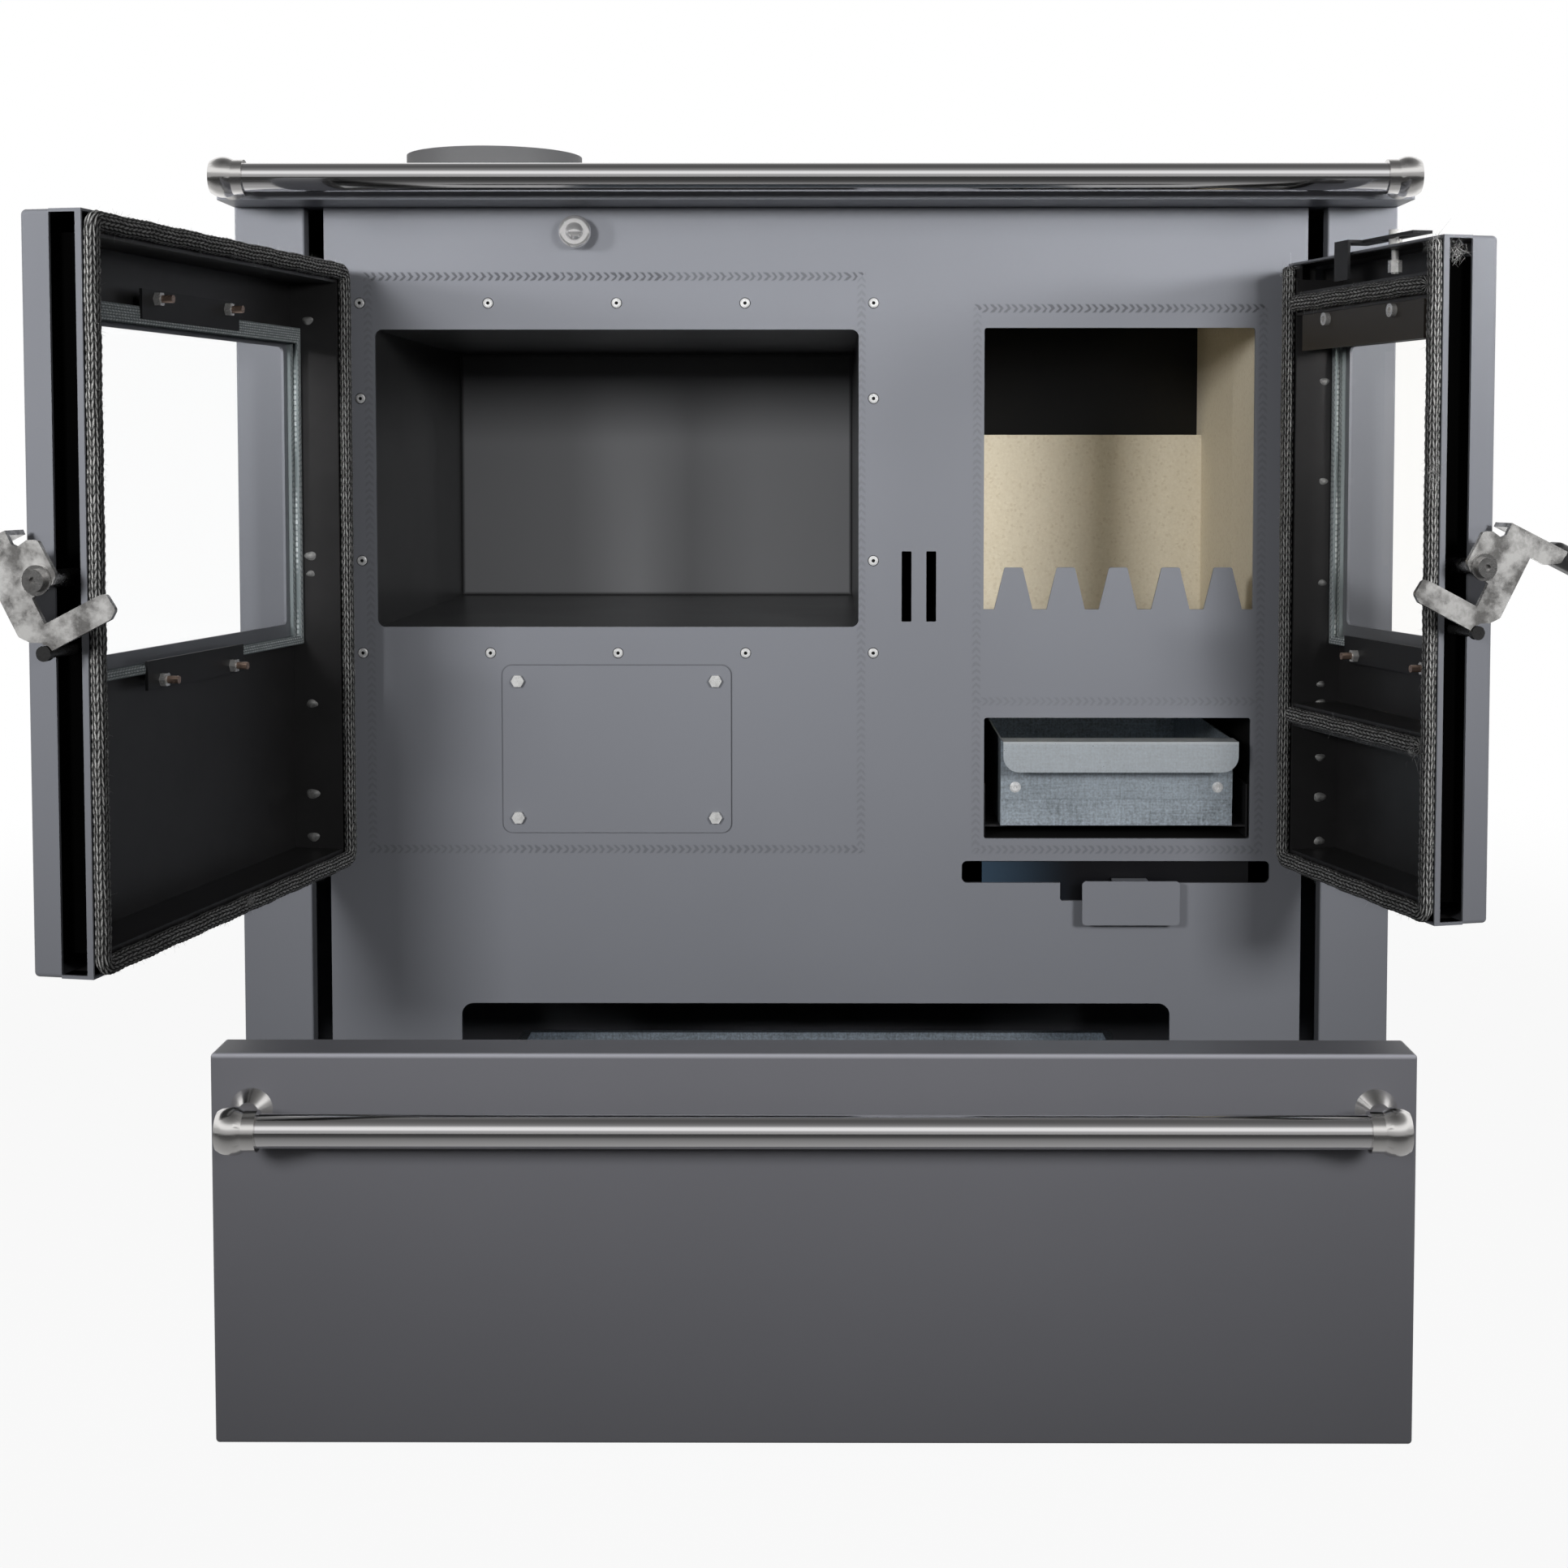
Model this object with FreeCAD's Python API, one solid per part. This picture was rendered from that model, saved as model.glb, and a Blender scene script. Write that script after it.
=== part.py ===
import FreeCAD, Part
import math
import os

Vector = FreeCAD.Vector

# Wood cookstove, in millimetres. X runs to the right, Y to the back, Z up from the floor.
# Depths (d) are measured backwards from the front face of the front panel.

# Body sheets
body_width = 860.0
body_depth = 530.0
body_top = 821.5
plinth_height = 34.0
plinth_setback = 20.0
plinth_wall = 3.0
base_opening_width = 380.0
base_opening_margin = 60.0
sheet = 2.0
panel_width = 728.0
panel_thickness = 3.0
post_width = 51.5
post_return = 15.0
post_round = 1.5
inner_body_inset = 3.0
inner_body_rise = 5.4
inner_body_depth = 480.0

# Top frame, cooking plate and flue collar
frame_height = 25.5
frame_overhang = 50.0
frame_rim = 35.0
frame_front_rim = 5.0
frame_ledge = 12.0
frame_round = 2.0
plate_thickness = 10.5
plate_proud = 1.0
plate_gap = 1.5
lid_radius = 82.0
lid_step = 6.0
lid_gap = 1.0
lid_thickness = 5.5
lid_x = 225.0
lid_d = 165.0
lid_slot_length = 26.0
lid_slot_width = 9.0
lid_slot_offset = 36.9
flue_bore = 150.0
flue_wall = 2.0
flue_height = 55.0
flue_flange = 16.0
flue_flange_thickness = 3.0
flue_ledge = 5.0
flue_x = -286.0
flue_d = 341.0

# Rails with ball ends
rail_radius = 10.0
rail_wall = 1.5
ball_radius = 14.3
ball_flat = 8.5
collar_radius = 12.2
collar_reach = 15.0
stem_radius = 6.5
foot_radius = 13.0
foot_length = 9.0
top_rail_inset = 12.0
top_rail_out = 25.0
top_rail_rise = 12.8
drawer_rail_inset = 25.0
drawer_rail_out = 45.0
drawer_rail_drop = 34.0

# Oven
oven_x = -147.5
oven_width = 359.0
oven_floor = 510.5
oven_height = 221.0
oven_depth = 396.0
oven_wall = 1.5
oven_corner = 5.5
oven_flange = 25.0
rivet_row_offset = 19.5
rivet_column_offset = 11.0
rivet_columns = 5
rivet_side_rise = [49.5, 170.0]
rivet_head = 4.1
rivet_head_height = 1.2
rivet_shank = 2.0
rivet_play = 0.05
rivet_eye = 1.3
rivet_top = 2.54
rivet_tail = 1.0

# Clean-out cover under the oven
cleanout_x = -148.5
cleanout_drop = 91.5
cleanout_width = 170.5
cleanout_height = 125.5
cleanout_sheet = 2.0
cleanout_corner = 7.0
cleanout_lap = 26.0
bolt_inset = 11.5
bolt_flats = 8.5
bolt_head_height = 3.6
bolt_shank = 2.5
bolt_reach = 6.0

# Firebox and its toothed opening
fire_x = 225.5
fire_width = 200.6
fire_height = 209.0
fire_sill_rise = 36.7
fire_corner = 2.0
tooth_count = 5
tooth_pitch = 39.0
tooth_height = 31.2
tooth_tip = 13.4
tooth_foot = 28.5
firebox_width = 216.0
firebox_depth = 288.0
brick_thickness = 25.0
back_brick_height = 169.7
side_brick_height = 303.0
brick_joint_d = 139.0
brick_joint = 0.8
firebox_steel = 2.5
grate_rise = 44.5
grate_thickness = 14.0
grate_margin = 10.0
grate_play = 6.0
grate_bars = 8
grate_slot_share = 0.45

# Ash compartment and ash pan
ash_width = 199.0
ash_floor = 351.5
ash_height = 91.0
ash_box_depth = 300.0
pan_width = 173.6
pan_rise = 9.5
pan_height = 65.0
pan_length = 280.0
pan_front = 3.0
pan_sheet = 1.2
pan_play = 0.3
pan_lip_out = 25.0
pan_lip_drop = 21.5
pan_lip_corner = 12.0
pan_lip_tail = 45.0
pan_rivet_drop = 36.0
pan_rivet_half = 75.8
guide_sheet = 1.5
guide_height = 40.0
guide_shelf = 18.0

# Air slider in its slot
air_slot_shift = -0.5
air_slot_width = 230.7
air_slot_drop = 33.5
air_slot_height = 16.6
air_notch_left = 41.5
air_notch_right = 44.5
air_notch_drop = 13.5
air_slot_corner = 4.0
slider_width = 200.0
slider_margin = 4.0
slider_sheet = 1.5
slider_play = 0.3
tab_shift = 9.8
tab_width = 72.5
tab_neck = 26.0
tab_out = 13.0
tab_drop = 33.0
tab_rise = 3.5
tab_corner = 3.0
slider_guide_lap = 4.0
slider_guide_width = 9.0

# Damper pull
damper_x = -177.0
damper_drop = 19.0
damper_rod_radius = 4.0
damper_rod_length = 122.0
damper_plate_width = 80.0
damper_plate_height = 34.0
damper_guide_radius = 9.0
damper_guide_length = 12.0
knob_radius = 12.0
knob_ring = 2.8
knob_gap = 2.0
knob_dome = 7.4
knob_dome_depth = 3.33
knob_length = 12.0
running_play = 0.05

# Doors, described closed: u runs from the hinge axis to the free edge
hinge_inset = 14.0
hinge_out = 18.0
door_bottom = 337.0
door_height = 440.0
door_thickness = 46.4
skin_depth = 18.0
skin_sheet = 2.0
skin_round = 3.0
skin_past_hinge = 8.0
frame_past_hinge = 12.0
frame_sheet = 2.0
lip_sheet = 1.5
lip_height = 1.8
wall_rise = 2.0
rope_width = 12.0
rope_thickness = 9.0
rope_inset = 6.2
rope_play = 0.3
rope_panel_gap = 1.0
rope_bend = 0.7
oven_door_free = 390.0
oven_door_angle = 100.6
fire_door_free = 236.0
fire_door_angle = 103.8

# Door windows
window_margin = 26.0
window_rise = 179.0
window_drop = 61.0
window_corner = 4.0
glass_thickness = 4.0
glass_side_lap = 10.0
glass_end_lap = 13.0
tape_outer = 3.0
tape_inner = 1.4
tape_edge = 1.0
clamp_sheet = 2.0
clamp_length = 137.0
clamp_lap = 6.5
clamp_past_stud = 5.5
stud_radius = 2.5
stud_half = 50.0
stud_offset = 6.5
stud_length = 22.0
stud_play = 0.3
nut_flats = 8.0
nut_height = 4.0
nut_play = 0.05
nut_gap = 0.1

# Fire door extras
cross_rope_upper_drop = 30.0
cross_rope_middle_drop = 40.5
deflector_length = 176.0
deflector_drop = 25.5
deflector_out = 36.4
deflector_sheet = 2.0
deflector_screw_half = 48.0
deflector_screw_drop = 5.0
standoff_radius = 3.0
screw_head_radius = 4.5
screw_head_height = 3.5
screw_socket_radius = 2.2
screw_socket_depth = 2.0
slide_start = 97.0
slide_length = 90.0
slide_sheet = 2.0
slide_width = 14.0
slide_rise = 5.5
slide_front_gap = 2.0
slide_play = 0.3
slide_tab_width = 20.0
slide_tab_drop = 25.0
slide_bolt_u = 150.0
slide_bolt_d = -20.0
slide_bolt_radius = 2.5
slide_bolt_play = 0.3
slide_travel = 15.0
slide_bolt_tail = 18.0
slide_nut_drop = 7.0

# Hinges
hinge_pin_radius = 4.0
hinge_barrel_radius = 7.0
hinge_barrel_height = 22.0
hinge_gap = 0.3
hinge_from_edge = 70.0
hinge_foot_inner = 5.0
hinge_foot_outer = 13.0
hinge_foot_thickness = 3.0
hinge_foot_margin = 6.0
hinge_web = 6.0
hinge_leaf_thickness = 6.0

# Latches: the outline is measured from the pivot, inwards and up
latch_offset = 27.0
latch_sheet = 3.0
latch_pivot_d = -23.0
latch_rise = 231.0
latch_sleeve_radius = 5.0
latch_journal_radius = 4.0
latch_side_play = 0.3
latch_washer_radius = 8.6
latch_washer = 1.2
latch_head_radius = 6.4
latch_head_height = 3.6
latch_socket_radius = 2.0
latch_stop_a = 3.5
latch_stop_b = -41.0
latch_stop_head = 4.4
latch_stop_shaft = 3.0
latch_stop_play = 0.5
latch_flange = 20.0
grip_length = 104.0
grip_width = 18.0
grip_thickness = 15.0
grip_round = 5.5
grip_lap = 9.0
slot_width = 7.4
slot_lead = 0.8
slot_drop = 53.6
slot_height = 52.6
slot_corner = 0.8
latch_outline = [
    (-6.0, 22.5, 2.0),
    (0.5, 22.5, 3.5),
    (11.5, 3.0, 4.0),
    (9.0, -2.5, 3.0),
    (-3.5, -10.0, 0.8),
    (4.0, -24.5, 0.8),
    (36.0, -8.5, 0.0),
    (41.0, -6.8, 3.0),
    (47.0, -16.0, 3.0),
    (44.0, -21.3, 2.0),
    (6.8, -40.0, 0.0),
    (2.0, -35.0, 0.0),
    (-5.0, -35.0, 3.0),
    (-12.0, -32.0, 3.0),
    (-32.5, 6.0, 1.5),
    (-42.5, 1.0, 3.0),
    (-54.0, 2.0, 3.0),
    (-58.5, 9.2, 0.0),
    (-19.4, 27.6, 0.0),
    (-15.5, 20.0, 1.0),
    (-12.0, 18.5, 1.5),
]
lever_top = [(-19.4, 27.6), (-58.5, 9.2)]

# Drawer
drawer_width = 732.0
drawer_bottom = 34.0
drawer_height = 241.5
drawer_flange = 34.0
drawer_rest_out = 285.6
drawer_round = 2.5
drawer_opening_width = 533.0
drawer_opening_top = 226.6
drawer_opening_bottom = 46.0
drawer_opening_corner = 9.0
drawer_box_width = 490.0
drawer_box_bottom = 62.0
drawer_box_height = 85.0
drawer_box_end = 511.0
drawer_box_sheet = 1.2
drawer_box_rim = 6.0
runner_play = 0.3
runner_sheet = 2.0
runner_width = 40.0
runner_inset = 5.0
runner_start = 10.0

# How far a cutter reaches past what it cuts
past = 1.0

# Worked out from the values above
front_y = -body_depth / 2
half_body = body_width / 2
base_top = plinth_height + sheet
frame_top = body_top + frame_height
plate_bottom = frame_top + plate_proud - plate_thickness
plate_top = plate_bottom + plate_thickness
oven_left = oven_x - oven_width / 2
oven_right = oven_x + oven_width / 2
oven_ceiling = oven_floor + oven_height
ash_x = fire_x
pan_bottom = ash_floor + pan_rise
grate_level = ash_floor + ash_height + grate_rise
fire_sill = grate_level + fire_sill_rise
fire_top = fire_sill + fire_height
back_brick_top = grate_level + back_brick_height
side_brick_top = grate_level + side_brick_height
air_slot_x = ash_x + air_slot_shift
air_slot_bottom = ash_floor - air_slot_drop
air_notch_start = air_slot_x - air_notch_left
air_notch_end = air_slot_x + air_notch_right
tab_x = air_slot_x + tab_shift
cleanout_z = oven_floor - cleanout_drop
inner_body_floor = drawer_opening_top + inner_body_rise
damper_z = body_top - damper_drop
hinge_x = panel_width / 2 - hinge_inset
top_rail_half = half_body - top_rail_inset
drawer_rail_half = drawer_width / 2 - drawer_rail_inset
door_top = door_bottom + door_height
window_bottom = door_bottom + window_rise
latch_pivot_z = door_bottom + latch_rise
slot_bottom = latch_pivot_z - slot_drop
fire_left = fire_x - fire_width / 2
fire_right = fire_x + fire_width / 2
firebox_right = panel_width / 2 - inner_body_inset - sheet - brick_thickness
firebox_left = firebox_right - firebox_width
firebox_steel_x = firebox_left - brick_thickness
ash_left = ash_x - ash_width / 2
ash_right = ash_x + ash_width / 2
rope_half = rope_width / 2
rope_radius = rope_thickness / 2
rope_corner = rope_half + rope_bend
face_d = -door_thickness
skin_inner_d = face_d + skin_sheet
skin_back_d = face_d + skin_depth
rope_d = -(rope_panel_gap + rope_radius)
seat_front_d = rope_d - rope_radius - rope_play
seat_back_d = seat_front_d - frame_sheet
wall_inset = rope_inset + rope_half + rope_play
window_height = door_height - window_rise - window_drop
window_top = window_bottom + window_height
glass_bottom = window_bottom - glass_end_lap
glass_top = window_top + glass_end_lap
glass_front_d = skin_inner_d + tape_outer
glass_back_d = glass_front_d + glass_thickness
tape_back_d = glass_back_d + tape_inner
cross_rope_upper = door_top - cross_rope_upper_drop
cross_rope_middle = glass_bottom - stud_offset - clamp_past_stud - cross_rope_middle_drop
drawer_rail_z = drawer_bottom + drawer_height - drawer_rail_drop
top_rail_z = body_top + top_rail_rise
rope_bottom = door_bottom + rope_inset
rope_top = door_top - rope_inset
rope_hinge_u = frame_past_hinge + rope_inset

oven_door = {"side": -1, "free": oven_door_free, "angle": oven_door_angle}
fire_door = {"side": 1, "free": fire_door_free, "angle": fire_door_angle}


# Basic solids, placed by depth behind the panel face
def box(x0, x1, d0, d1, z0, z1):
    low = Vector(min(x0, x1), front_y + min(d0, d1), min(z0, z1))
    return Part.makeBox(abs(x1 - x0), abs(d1 - d0), abs(z1 - z0), low)


def rod_x(radius, x0, x1, d, z):
    start = Vector(min(x0, x1), front_y + d, z)
    return Part.makeCylinder(radius, abs(x1 - x0), start, Vector(1, 0, 0))


def rod_d(radius, x, d0, d1, z):
    start = Vector(x, front_y + min(d0, d1), z)
    return Part.makeCylinder(radius, abs(d1 - d0), start, Vector(0, 1, 0))


def rod_z(radius, x, d, z0, z1):
    start = Vector(x, front_y + d, min(z0, z1))
    return Part.makeCylinder(radius, abs(z1 - z0), start, Vector(0, 0, 1))


def join(*shapes):
    whole = shapes[0]
    if len(shapes) > 1:
        whole = whole.multiFuse(list(shapes[1:]))
    return whole.removeSplitter()


# A closed outline of straight sides, each corner given as (a, b, radius)
def outline(corners, place):
    count = len(corners)
    starts = []
    ends = []
    middles = []
    for i in range(count):
        a, b, radius = corners[i]
        here = Vector(a, b, 0)
        before = Vector(corners[i - 1][0], corners[i - 1][1], 0)
        following = corners[(i + 1) % count]
        after = Vector(following[0], following[1], 0)
        back = (before - here).normalize()
        ahead = (after - here).normalize()
        if radius == 0:
            starts.append(here)
            ends.append(here)
            middles.append(None)
            continue
        half = back.getAngle(ahead) / 2
        reach = radius / math.tan(half)
        bisector = (back + ahead).normalize()
        centre = here + bisector * (radius / math.sin(half))
        starts.append(here + back * reach)
        ends.append(here + ahead * reach)
        middles.append(centre - bisector * radius)
    edges = []
    for i in range(count):
        if middles[i] is not None:
            arc = Part.Arc(place(starts[i]), place(middles[i]), place(ends[i]))
            edges.append(arc.toShape())
        following = starts[(i + 1) % count]
        if (following - ends[i]).Length > 1e-6:
            edges.append(Part.LineSegment(place(ends[i]), place(following)).toShape())
    return Part.Wire(edges)


# A plate whose outline lies across the front (x, z), between two depths
def front_plate(corners, d0, d1):
    def place(point):
        return Vector(point.x, front_y + d0, point.y)

    return Part.Face(outline(corners, place)).extrude(Vector(0, d1 - d0, 0))


# A plate whose outline lies across the side (d, z), between two places along x
def side_plate(corners, x0, x1):
    def place(point):
        return Vector(x0, front_y + point.x, point.y)

    return Part.Face(outline(corners, place)).extrude(Vector(x1 - x0, 0, 0))


def rectangle(x0, x1, z0, z1, radius):
    left = min(x0, x1)
    right = max(x0, x1)
    return [(left, z0, radius), (right, z0, radius), (right, z1, radius), (left, z1, radius)]


def ring(x0, x1, z0, z1, width, d0, d1):
    left = min(x0, x1)
    right = max(x0, x1)
    outer = box(left, right, d0, d1, z0, z1)
    return outer.cut(box(left + width, right - width, d0 - past, d1 + past, z0 + width, z1 - width))


# A folded tray, open to the back, with its front and corner edges rounded
def tray(x0, x1, d0, d1, z0, z1, wall, radius):
    outer = box(x0, x1, d0, d1, z0, z1)
    front = front_y + d0
    rounded = []
    for edge in outer.Edges:
        low = edge.BoundBox
        on_front = abs(low.YMin - front) < 1e-6 and abs(low.YMax - front) < 1e-6
        along_depth = low.YLength > 1e-6
        if on_front or along_depth:
            rounded.append(edge)
    outer = outer.makeFillet(radius, rounded)
    left = min(x0, x1)
    right = max(x0, x1)
    inner = box(left + wall, right - wall, d0 + wall, d1 + past, z0 + wall, z1 - wall)
    return outer.cut(inner)


def hexagon(flats, x, z, d0, d1):
    radius = flats / math.sqrt(3)
    corners = []
    for i in range(6):
        angle = math.radians(60 * i)
        corners.append((x + radius * math.cos(angle), z + radius * math.sin(angle), 0.0))
    return front_plate(corners, d0, d1)


def save(name, *shapes):
    solids = []
    for shape in shapes:
        solids.extend(shape.Solids)
    whole = solids[0] if len(solids) == 1 else Part.makeCompound(solids)
    whole.exportStep("parts/" + name + ".step")


# Base: a shallow plinth tray under the plate that carries the body
def make_base():
    x = half_body - plinth_setback
    d0 = plinth_setback
    d1 = body_depth - plinth_setback
    w = plinth_wall
    skirt = box(-x, x, d0, d1, 0, plinth_height)
    hollow = box(-x + w, x - w, d0 + w, d1 - w, sheet, plinth_height + past)
    plate = box(-half_body, half_body, 0, body_depth, plinth_height, base_top)
    half = base_opening_width / 2
    margin = base_opening_margin
    opening = box(-half, half, margin, body_depth - margin, plinth_height - past, base_top + past)
    return join(skirt.cut(hollow), plate.cut(opening))


# One side cladding: outer sheet, front flange and the return along its inner edge
def make_side_panel(side):
    outer = half_body
    inner = half_body - post_width
    wall = box(side * (outer - sheet), side * outer, 0, body_depth - sheet, base_top, body_top)
    flange = box(side * inner, side * outer, 0, sheet, base_top, body_top)
    fold = box(side * inner, side * (inner + sheet), 0, post_return, base_top, body_top)
    panel = join(wall, flange, fold)
    corners = []
    for edge in panel.Edges:
        low = edge.BoundBox
        upright = low.ZLength > (body_top - base_top) / 2
        on_front = abs(low.YMin - front_y) < 1e-6
        if upright and on_front:
            corners.append(edge)
    return panel.makeFillet(post_round, corners)


def make_inner_body():
    x = panel_width / 2 - inner_body_inset
    d0 = panel_thickness
    d1 = inner_body_depth
    shell = box(-x, x, d0, d1, inner_body_floor, body_top)
    floor = inner_body_floor + sheet
    return shell.cut(box(-x + sheet, x - sheet, d0 - past, d1 - sheet, floor, body_top + past))


# Places of the blind rivets round the oven opening
def rivet_places():
    places = []
    half = oven_width / 2 + rivet_column_offset
    step = 2 * half / (rivet_columns - 1)
    for i in range(rivet_columns):
        x = oven_x - half + i * step
        places.append((x, oven_ceiling + rivet_row_offset))
        places.append((x, oven_floor - rivet_row_offset))
    for rise in rivet_side_rise:
        places.append((oven_x - half, oven_floor + rise))
        places.append((oven_x + half, oven_floor + rise))
    return places


def cleanout_bolt_places():
    places = []
    for a in (-1, 1):
        for b in (-1, 1):
            x = cleanout_x + a * (cleanout_width / 2 - bolt_inset)
            z = cleanout_z + b * (cleanout_height / 2 - bolt_inset)
            places.append((x, z))
    return places


# The fire opening with its row of teeth along the sill
def fire_corners():
    corners = [(fire_left, fire_top, fire_corner), (fire_left, fire_sill, 0.0)]
    first = fire_x - tooth_pitch * (tooth_count - 1) / 2
    tip = fire_sill + tooth_height
    for i in range(tooth_count):
        x = first + i * tooth_pitch
        corners.append((x - tooth_foot / 2, fire_sill, 1.0))
        corners.append((x - tooth_tip / 2, tip, 1.5))
        corners.append((x + tooth_tip / 2, tip, 1.5))
        corners.append((x + tooth_foot / 2, fire_sill, 1.0))
    corners.append((fire_right, fire_sill, 0.0))
    corners.append((fire_right, fire_top, fire_corner))
    return corners


def latch_slot_x(door):
    u = door["free"] + latch_offset + slot_lead
    return door["side"] * (hinge_x - u)


def air_slot_corners():
    left = air_slot_x - air_slot_width / 2
    right = air_slot_x + air_slot_width / 2
    top = air_slot_bottom + air_slot_height
    low = air_slot_bottom - air_notch_drop
    return [
        (left, top, air_slot_corner),
        (left, air_slot_bottom, air_slot_corner),
        (air_notch_start, air_slot_bottom, 0.0),
        (air_notch_start, low, air_slot_corner / 2),
        (air_notch_end, low, air_slot_corner / 2),
        (air_notch_end, air_slot_bottom, 0.0),
        (right, air_slot_bottom, air_slot_corner),
        (right, top, air_slot_corner),
    ]


def make_front_panel():
    x = panel_width / 2
    t = panel_thickness
    panel = box(-x, x, 0, t, base_top, body_top)
    half = drawer_opening_width / 2
    openings = [
        rectangle(oven_left, oven_right, oven_floor, oven_ceiling, oven_corner),
        fire_corners(),
        rectangle(ash_left, ash_right, ash_floor, ash_floor + ash_height, fire_corner),
        air_slot_corners(),
        rectangle(-half, half, drawer_opening_bottom, drawer_opening_top, drawer_opening_corner),
    ]
    lap = cleanout_lap
    reach_x = cleanout_width / 2 - lap
    reach_z = cleanout_height / 2 - lap
    openings.append(
        rectangle(
            cleanout_x - reach_x, cleanout_x + reach_x,
            cleanout_z - reach_z, cleanout_z + reach_z, cleanout_corner,
        )
    )
    for door in (oven_door, fire_door):
        centre = latch_slot_x(door)
        half_slot = slot_width / 2
        openings.append(
            rectangle(
                centre - half_slot, centre + half_slot,
                slot_bottom, slot_bottom + slot_height, slot_corner,
            )
        )
    cutters = [front_plate(corners, -past, t + past) for corners in openings]
    for x, z in rivet_places():
        cutters.append(rod_d(rivet_shank + rivet_play, x, -past, t + past, z))
    for x, z in cleanout_bolt_places():
        cutters.append(rod_d(bolt_shank + rivet_play, x, -past, t + past, z))
    cutters.append(rod_d(damper_rod_radius + running_play, damper_x, -past, t + past, damper_z))
    return panel.cut(cutters)


# The oven is a welded box with a flange behind the panel
def make_oven_liner():
    d0 = panel_thickness
    w = oven_wall
    outer = box(oven_left - w, oven_right + w, d0, oven_depth + w, oven_floor - w, oven_ceiling + w)
    lap = oven_flange
    flange = box(
        oven_left - lap, oven_right + lap, d0, d0 + w, oven_floor - lap - w, oven_ceiling + lap + w
    )
    hollow = box(oven_left, oven_right, d0 - past, oven_depth, oven_floor, oven_ceiling)
    liner = join(outer, flange).cut(hollow)
    holes = [rod_d(rivet_shank + rivet_play, x, d0 - past, d0 + w + past, z) for x, z in rivet_places()]
    return liner.cut(holes)


def blind_rivet(x, d, z, reach):
    face = Vector(x, front_y + d, z)
    head = Part.makeCone(rivet_head, rivet_top, rivet_head_height, face, Vector(0, -1, 0))
    shank = rod_d(rivet_shank, x, d, d + reach, z)
    eye = rod_d(rivet_eye, x, d - 2 * rivet_head_height, d, z)
    return join(head, shank).cut(eye)


def make_oven_rivets():
    reach = panel_thickness + oven_wall + rivet_tail
    return [blind_rivet(x, 0, z, reach) for x, z in rivet_places()]


def make_cleanout_cover():
    half_x = cleanout_width / 2
    half_z = cleanout_height / 2
    corners = rectangle(
        cleanout_x - half_x, cleanout_x + half_x, cleanout_z - half_z, cleanout_z + half_z, cleanout_corner
    )
    cover = front_plate(corners, -cleanout_sheet, 0)
    holes = []
    for x, z in cleanout_bolt_places():
        holes.append(rod_d(bolt_shank + rivet_play, x, -cleanout_sheet - past, past, z))
    return cover.cut(holes)


def make_cleanout_bolts():
    bolts = []
    for x, z in cleanout_bolt_places():
        seat = -cleanout_sheet
        head = hexagon(bolt_flats, x, z, seat - bolt_head_height, seat)
        shank = rod_d(bolt_shank, x, seat, panel_thickness + bolt_reach, z)
        bolts.append(join(head, shank))
    return bolts


# Steel wall between oven and fire, and the plate behind the bricks
def make_firebox_shell():
    t = firebox_steel
    d1 = firebox_depth + brick_thickness
    right = firebox_right + brick_thickness
    side = box(firebox_steel_x - t, firebox_steel_x, panel_thickness, d1 + t, grate_level, body_top)
    back = box(firebox_steel_x, right, d1, d1 + t, grate_level, body_top)
    return join(side, back)


def make_bricks():
    d0 = panel_thickness
    d1 = firebox_depth + brick_thickness
    joint = brick_joint / 2
    bricks = [box(firebox_left, firebox_right, firebox_depth, d1, grate_level, back_brick_top)]
    for x0 in (firebox_left - brick_thickness, firebox_right):
        x1 = x0 + brick_thickness
        bricks.append(box(x0, x1, d0, brick_joint_d - joint, grate_level, side_brick_top))
        bricks.append(box(x0, x1, brick_joint_d + joint, d1, grate_level, side_brick_top))
    return bricks


def make_grate():
    x0 = firebox_left + grate_play
    x1 = firebox_right - grate_play
    d0 = panel_thickness + grate_play
    d1 = firebox_depth - grate_play
    grate = box(x0, x1, d0, d1, grate_level, grate_level + grate_thickness)
    pitch = (x1 - x0 - 2 * grate_margin) / grate_bars
    slot = pitch * grate_slot_share
    slots = []
    for i in range(grate_bars):
        x = x0 + grate_margin + pitch * (i + 0.5)
        slots.append(
            box(
                x - slot / 2, x + slot / 2, d0 + 2 * grate_margin, d1 - 2 * grate_margin,
                grate_level - past, grate_level + grate_thickness + past,
            )
        )
    return grate.cut(slots)


# Trough under the grate, with the ledge that carries grate and bricks
def make_ash_box():
    w = sheet
    d0 = panel_thickness
    d1 = ash_box_depth
    left = ash_left - w
    right = ash_right + w
    low = ash_floor - w
    ledge = grate_level - w
    trough = box(left - w, right + w, d0, d1 + w, low, ledge)
    trough = trough.cut(box(left, right, d0 - past, d1, ash_floor, ledge + past))
    plate_end = firebox_depth + brick_thickness + firebox_steel
    plate = box(
        firebox_steel_x - firebox_steel, firebox_right + brick_thickness, d0, plate_end, ledge, grate_level
    )
    inset = grate_play + grate_margin
    mouth = box(
        firebox_left + inset, firebox_right - inset, d0 + inset, firebox_depth - inset,
        ledge - past, grate_level + past,
    )
    return join(trough, plate.cut(mouth))


def make_ash_guides():
    guides = []
    d0 = panel_thickness + grate_play
    d1 = pan_front + pan_length
    shelf_top = pan_bottom - pan_play
    for side, wall in ((1, ash_left), (-1, ash_right)):
        upright = box(wall, wall + side * guide_sheet, d0, d1, ash_floor, ash_floor + guide_height)
        shelf = box(wall, wall + side * guide_shelf, d0, d1, shelf_top - guide_sheet, shelf_top)
        guides.append(join(upright, shelf))
    return guides


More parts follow.
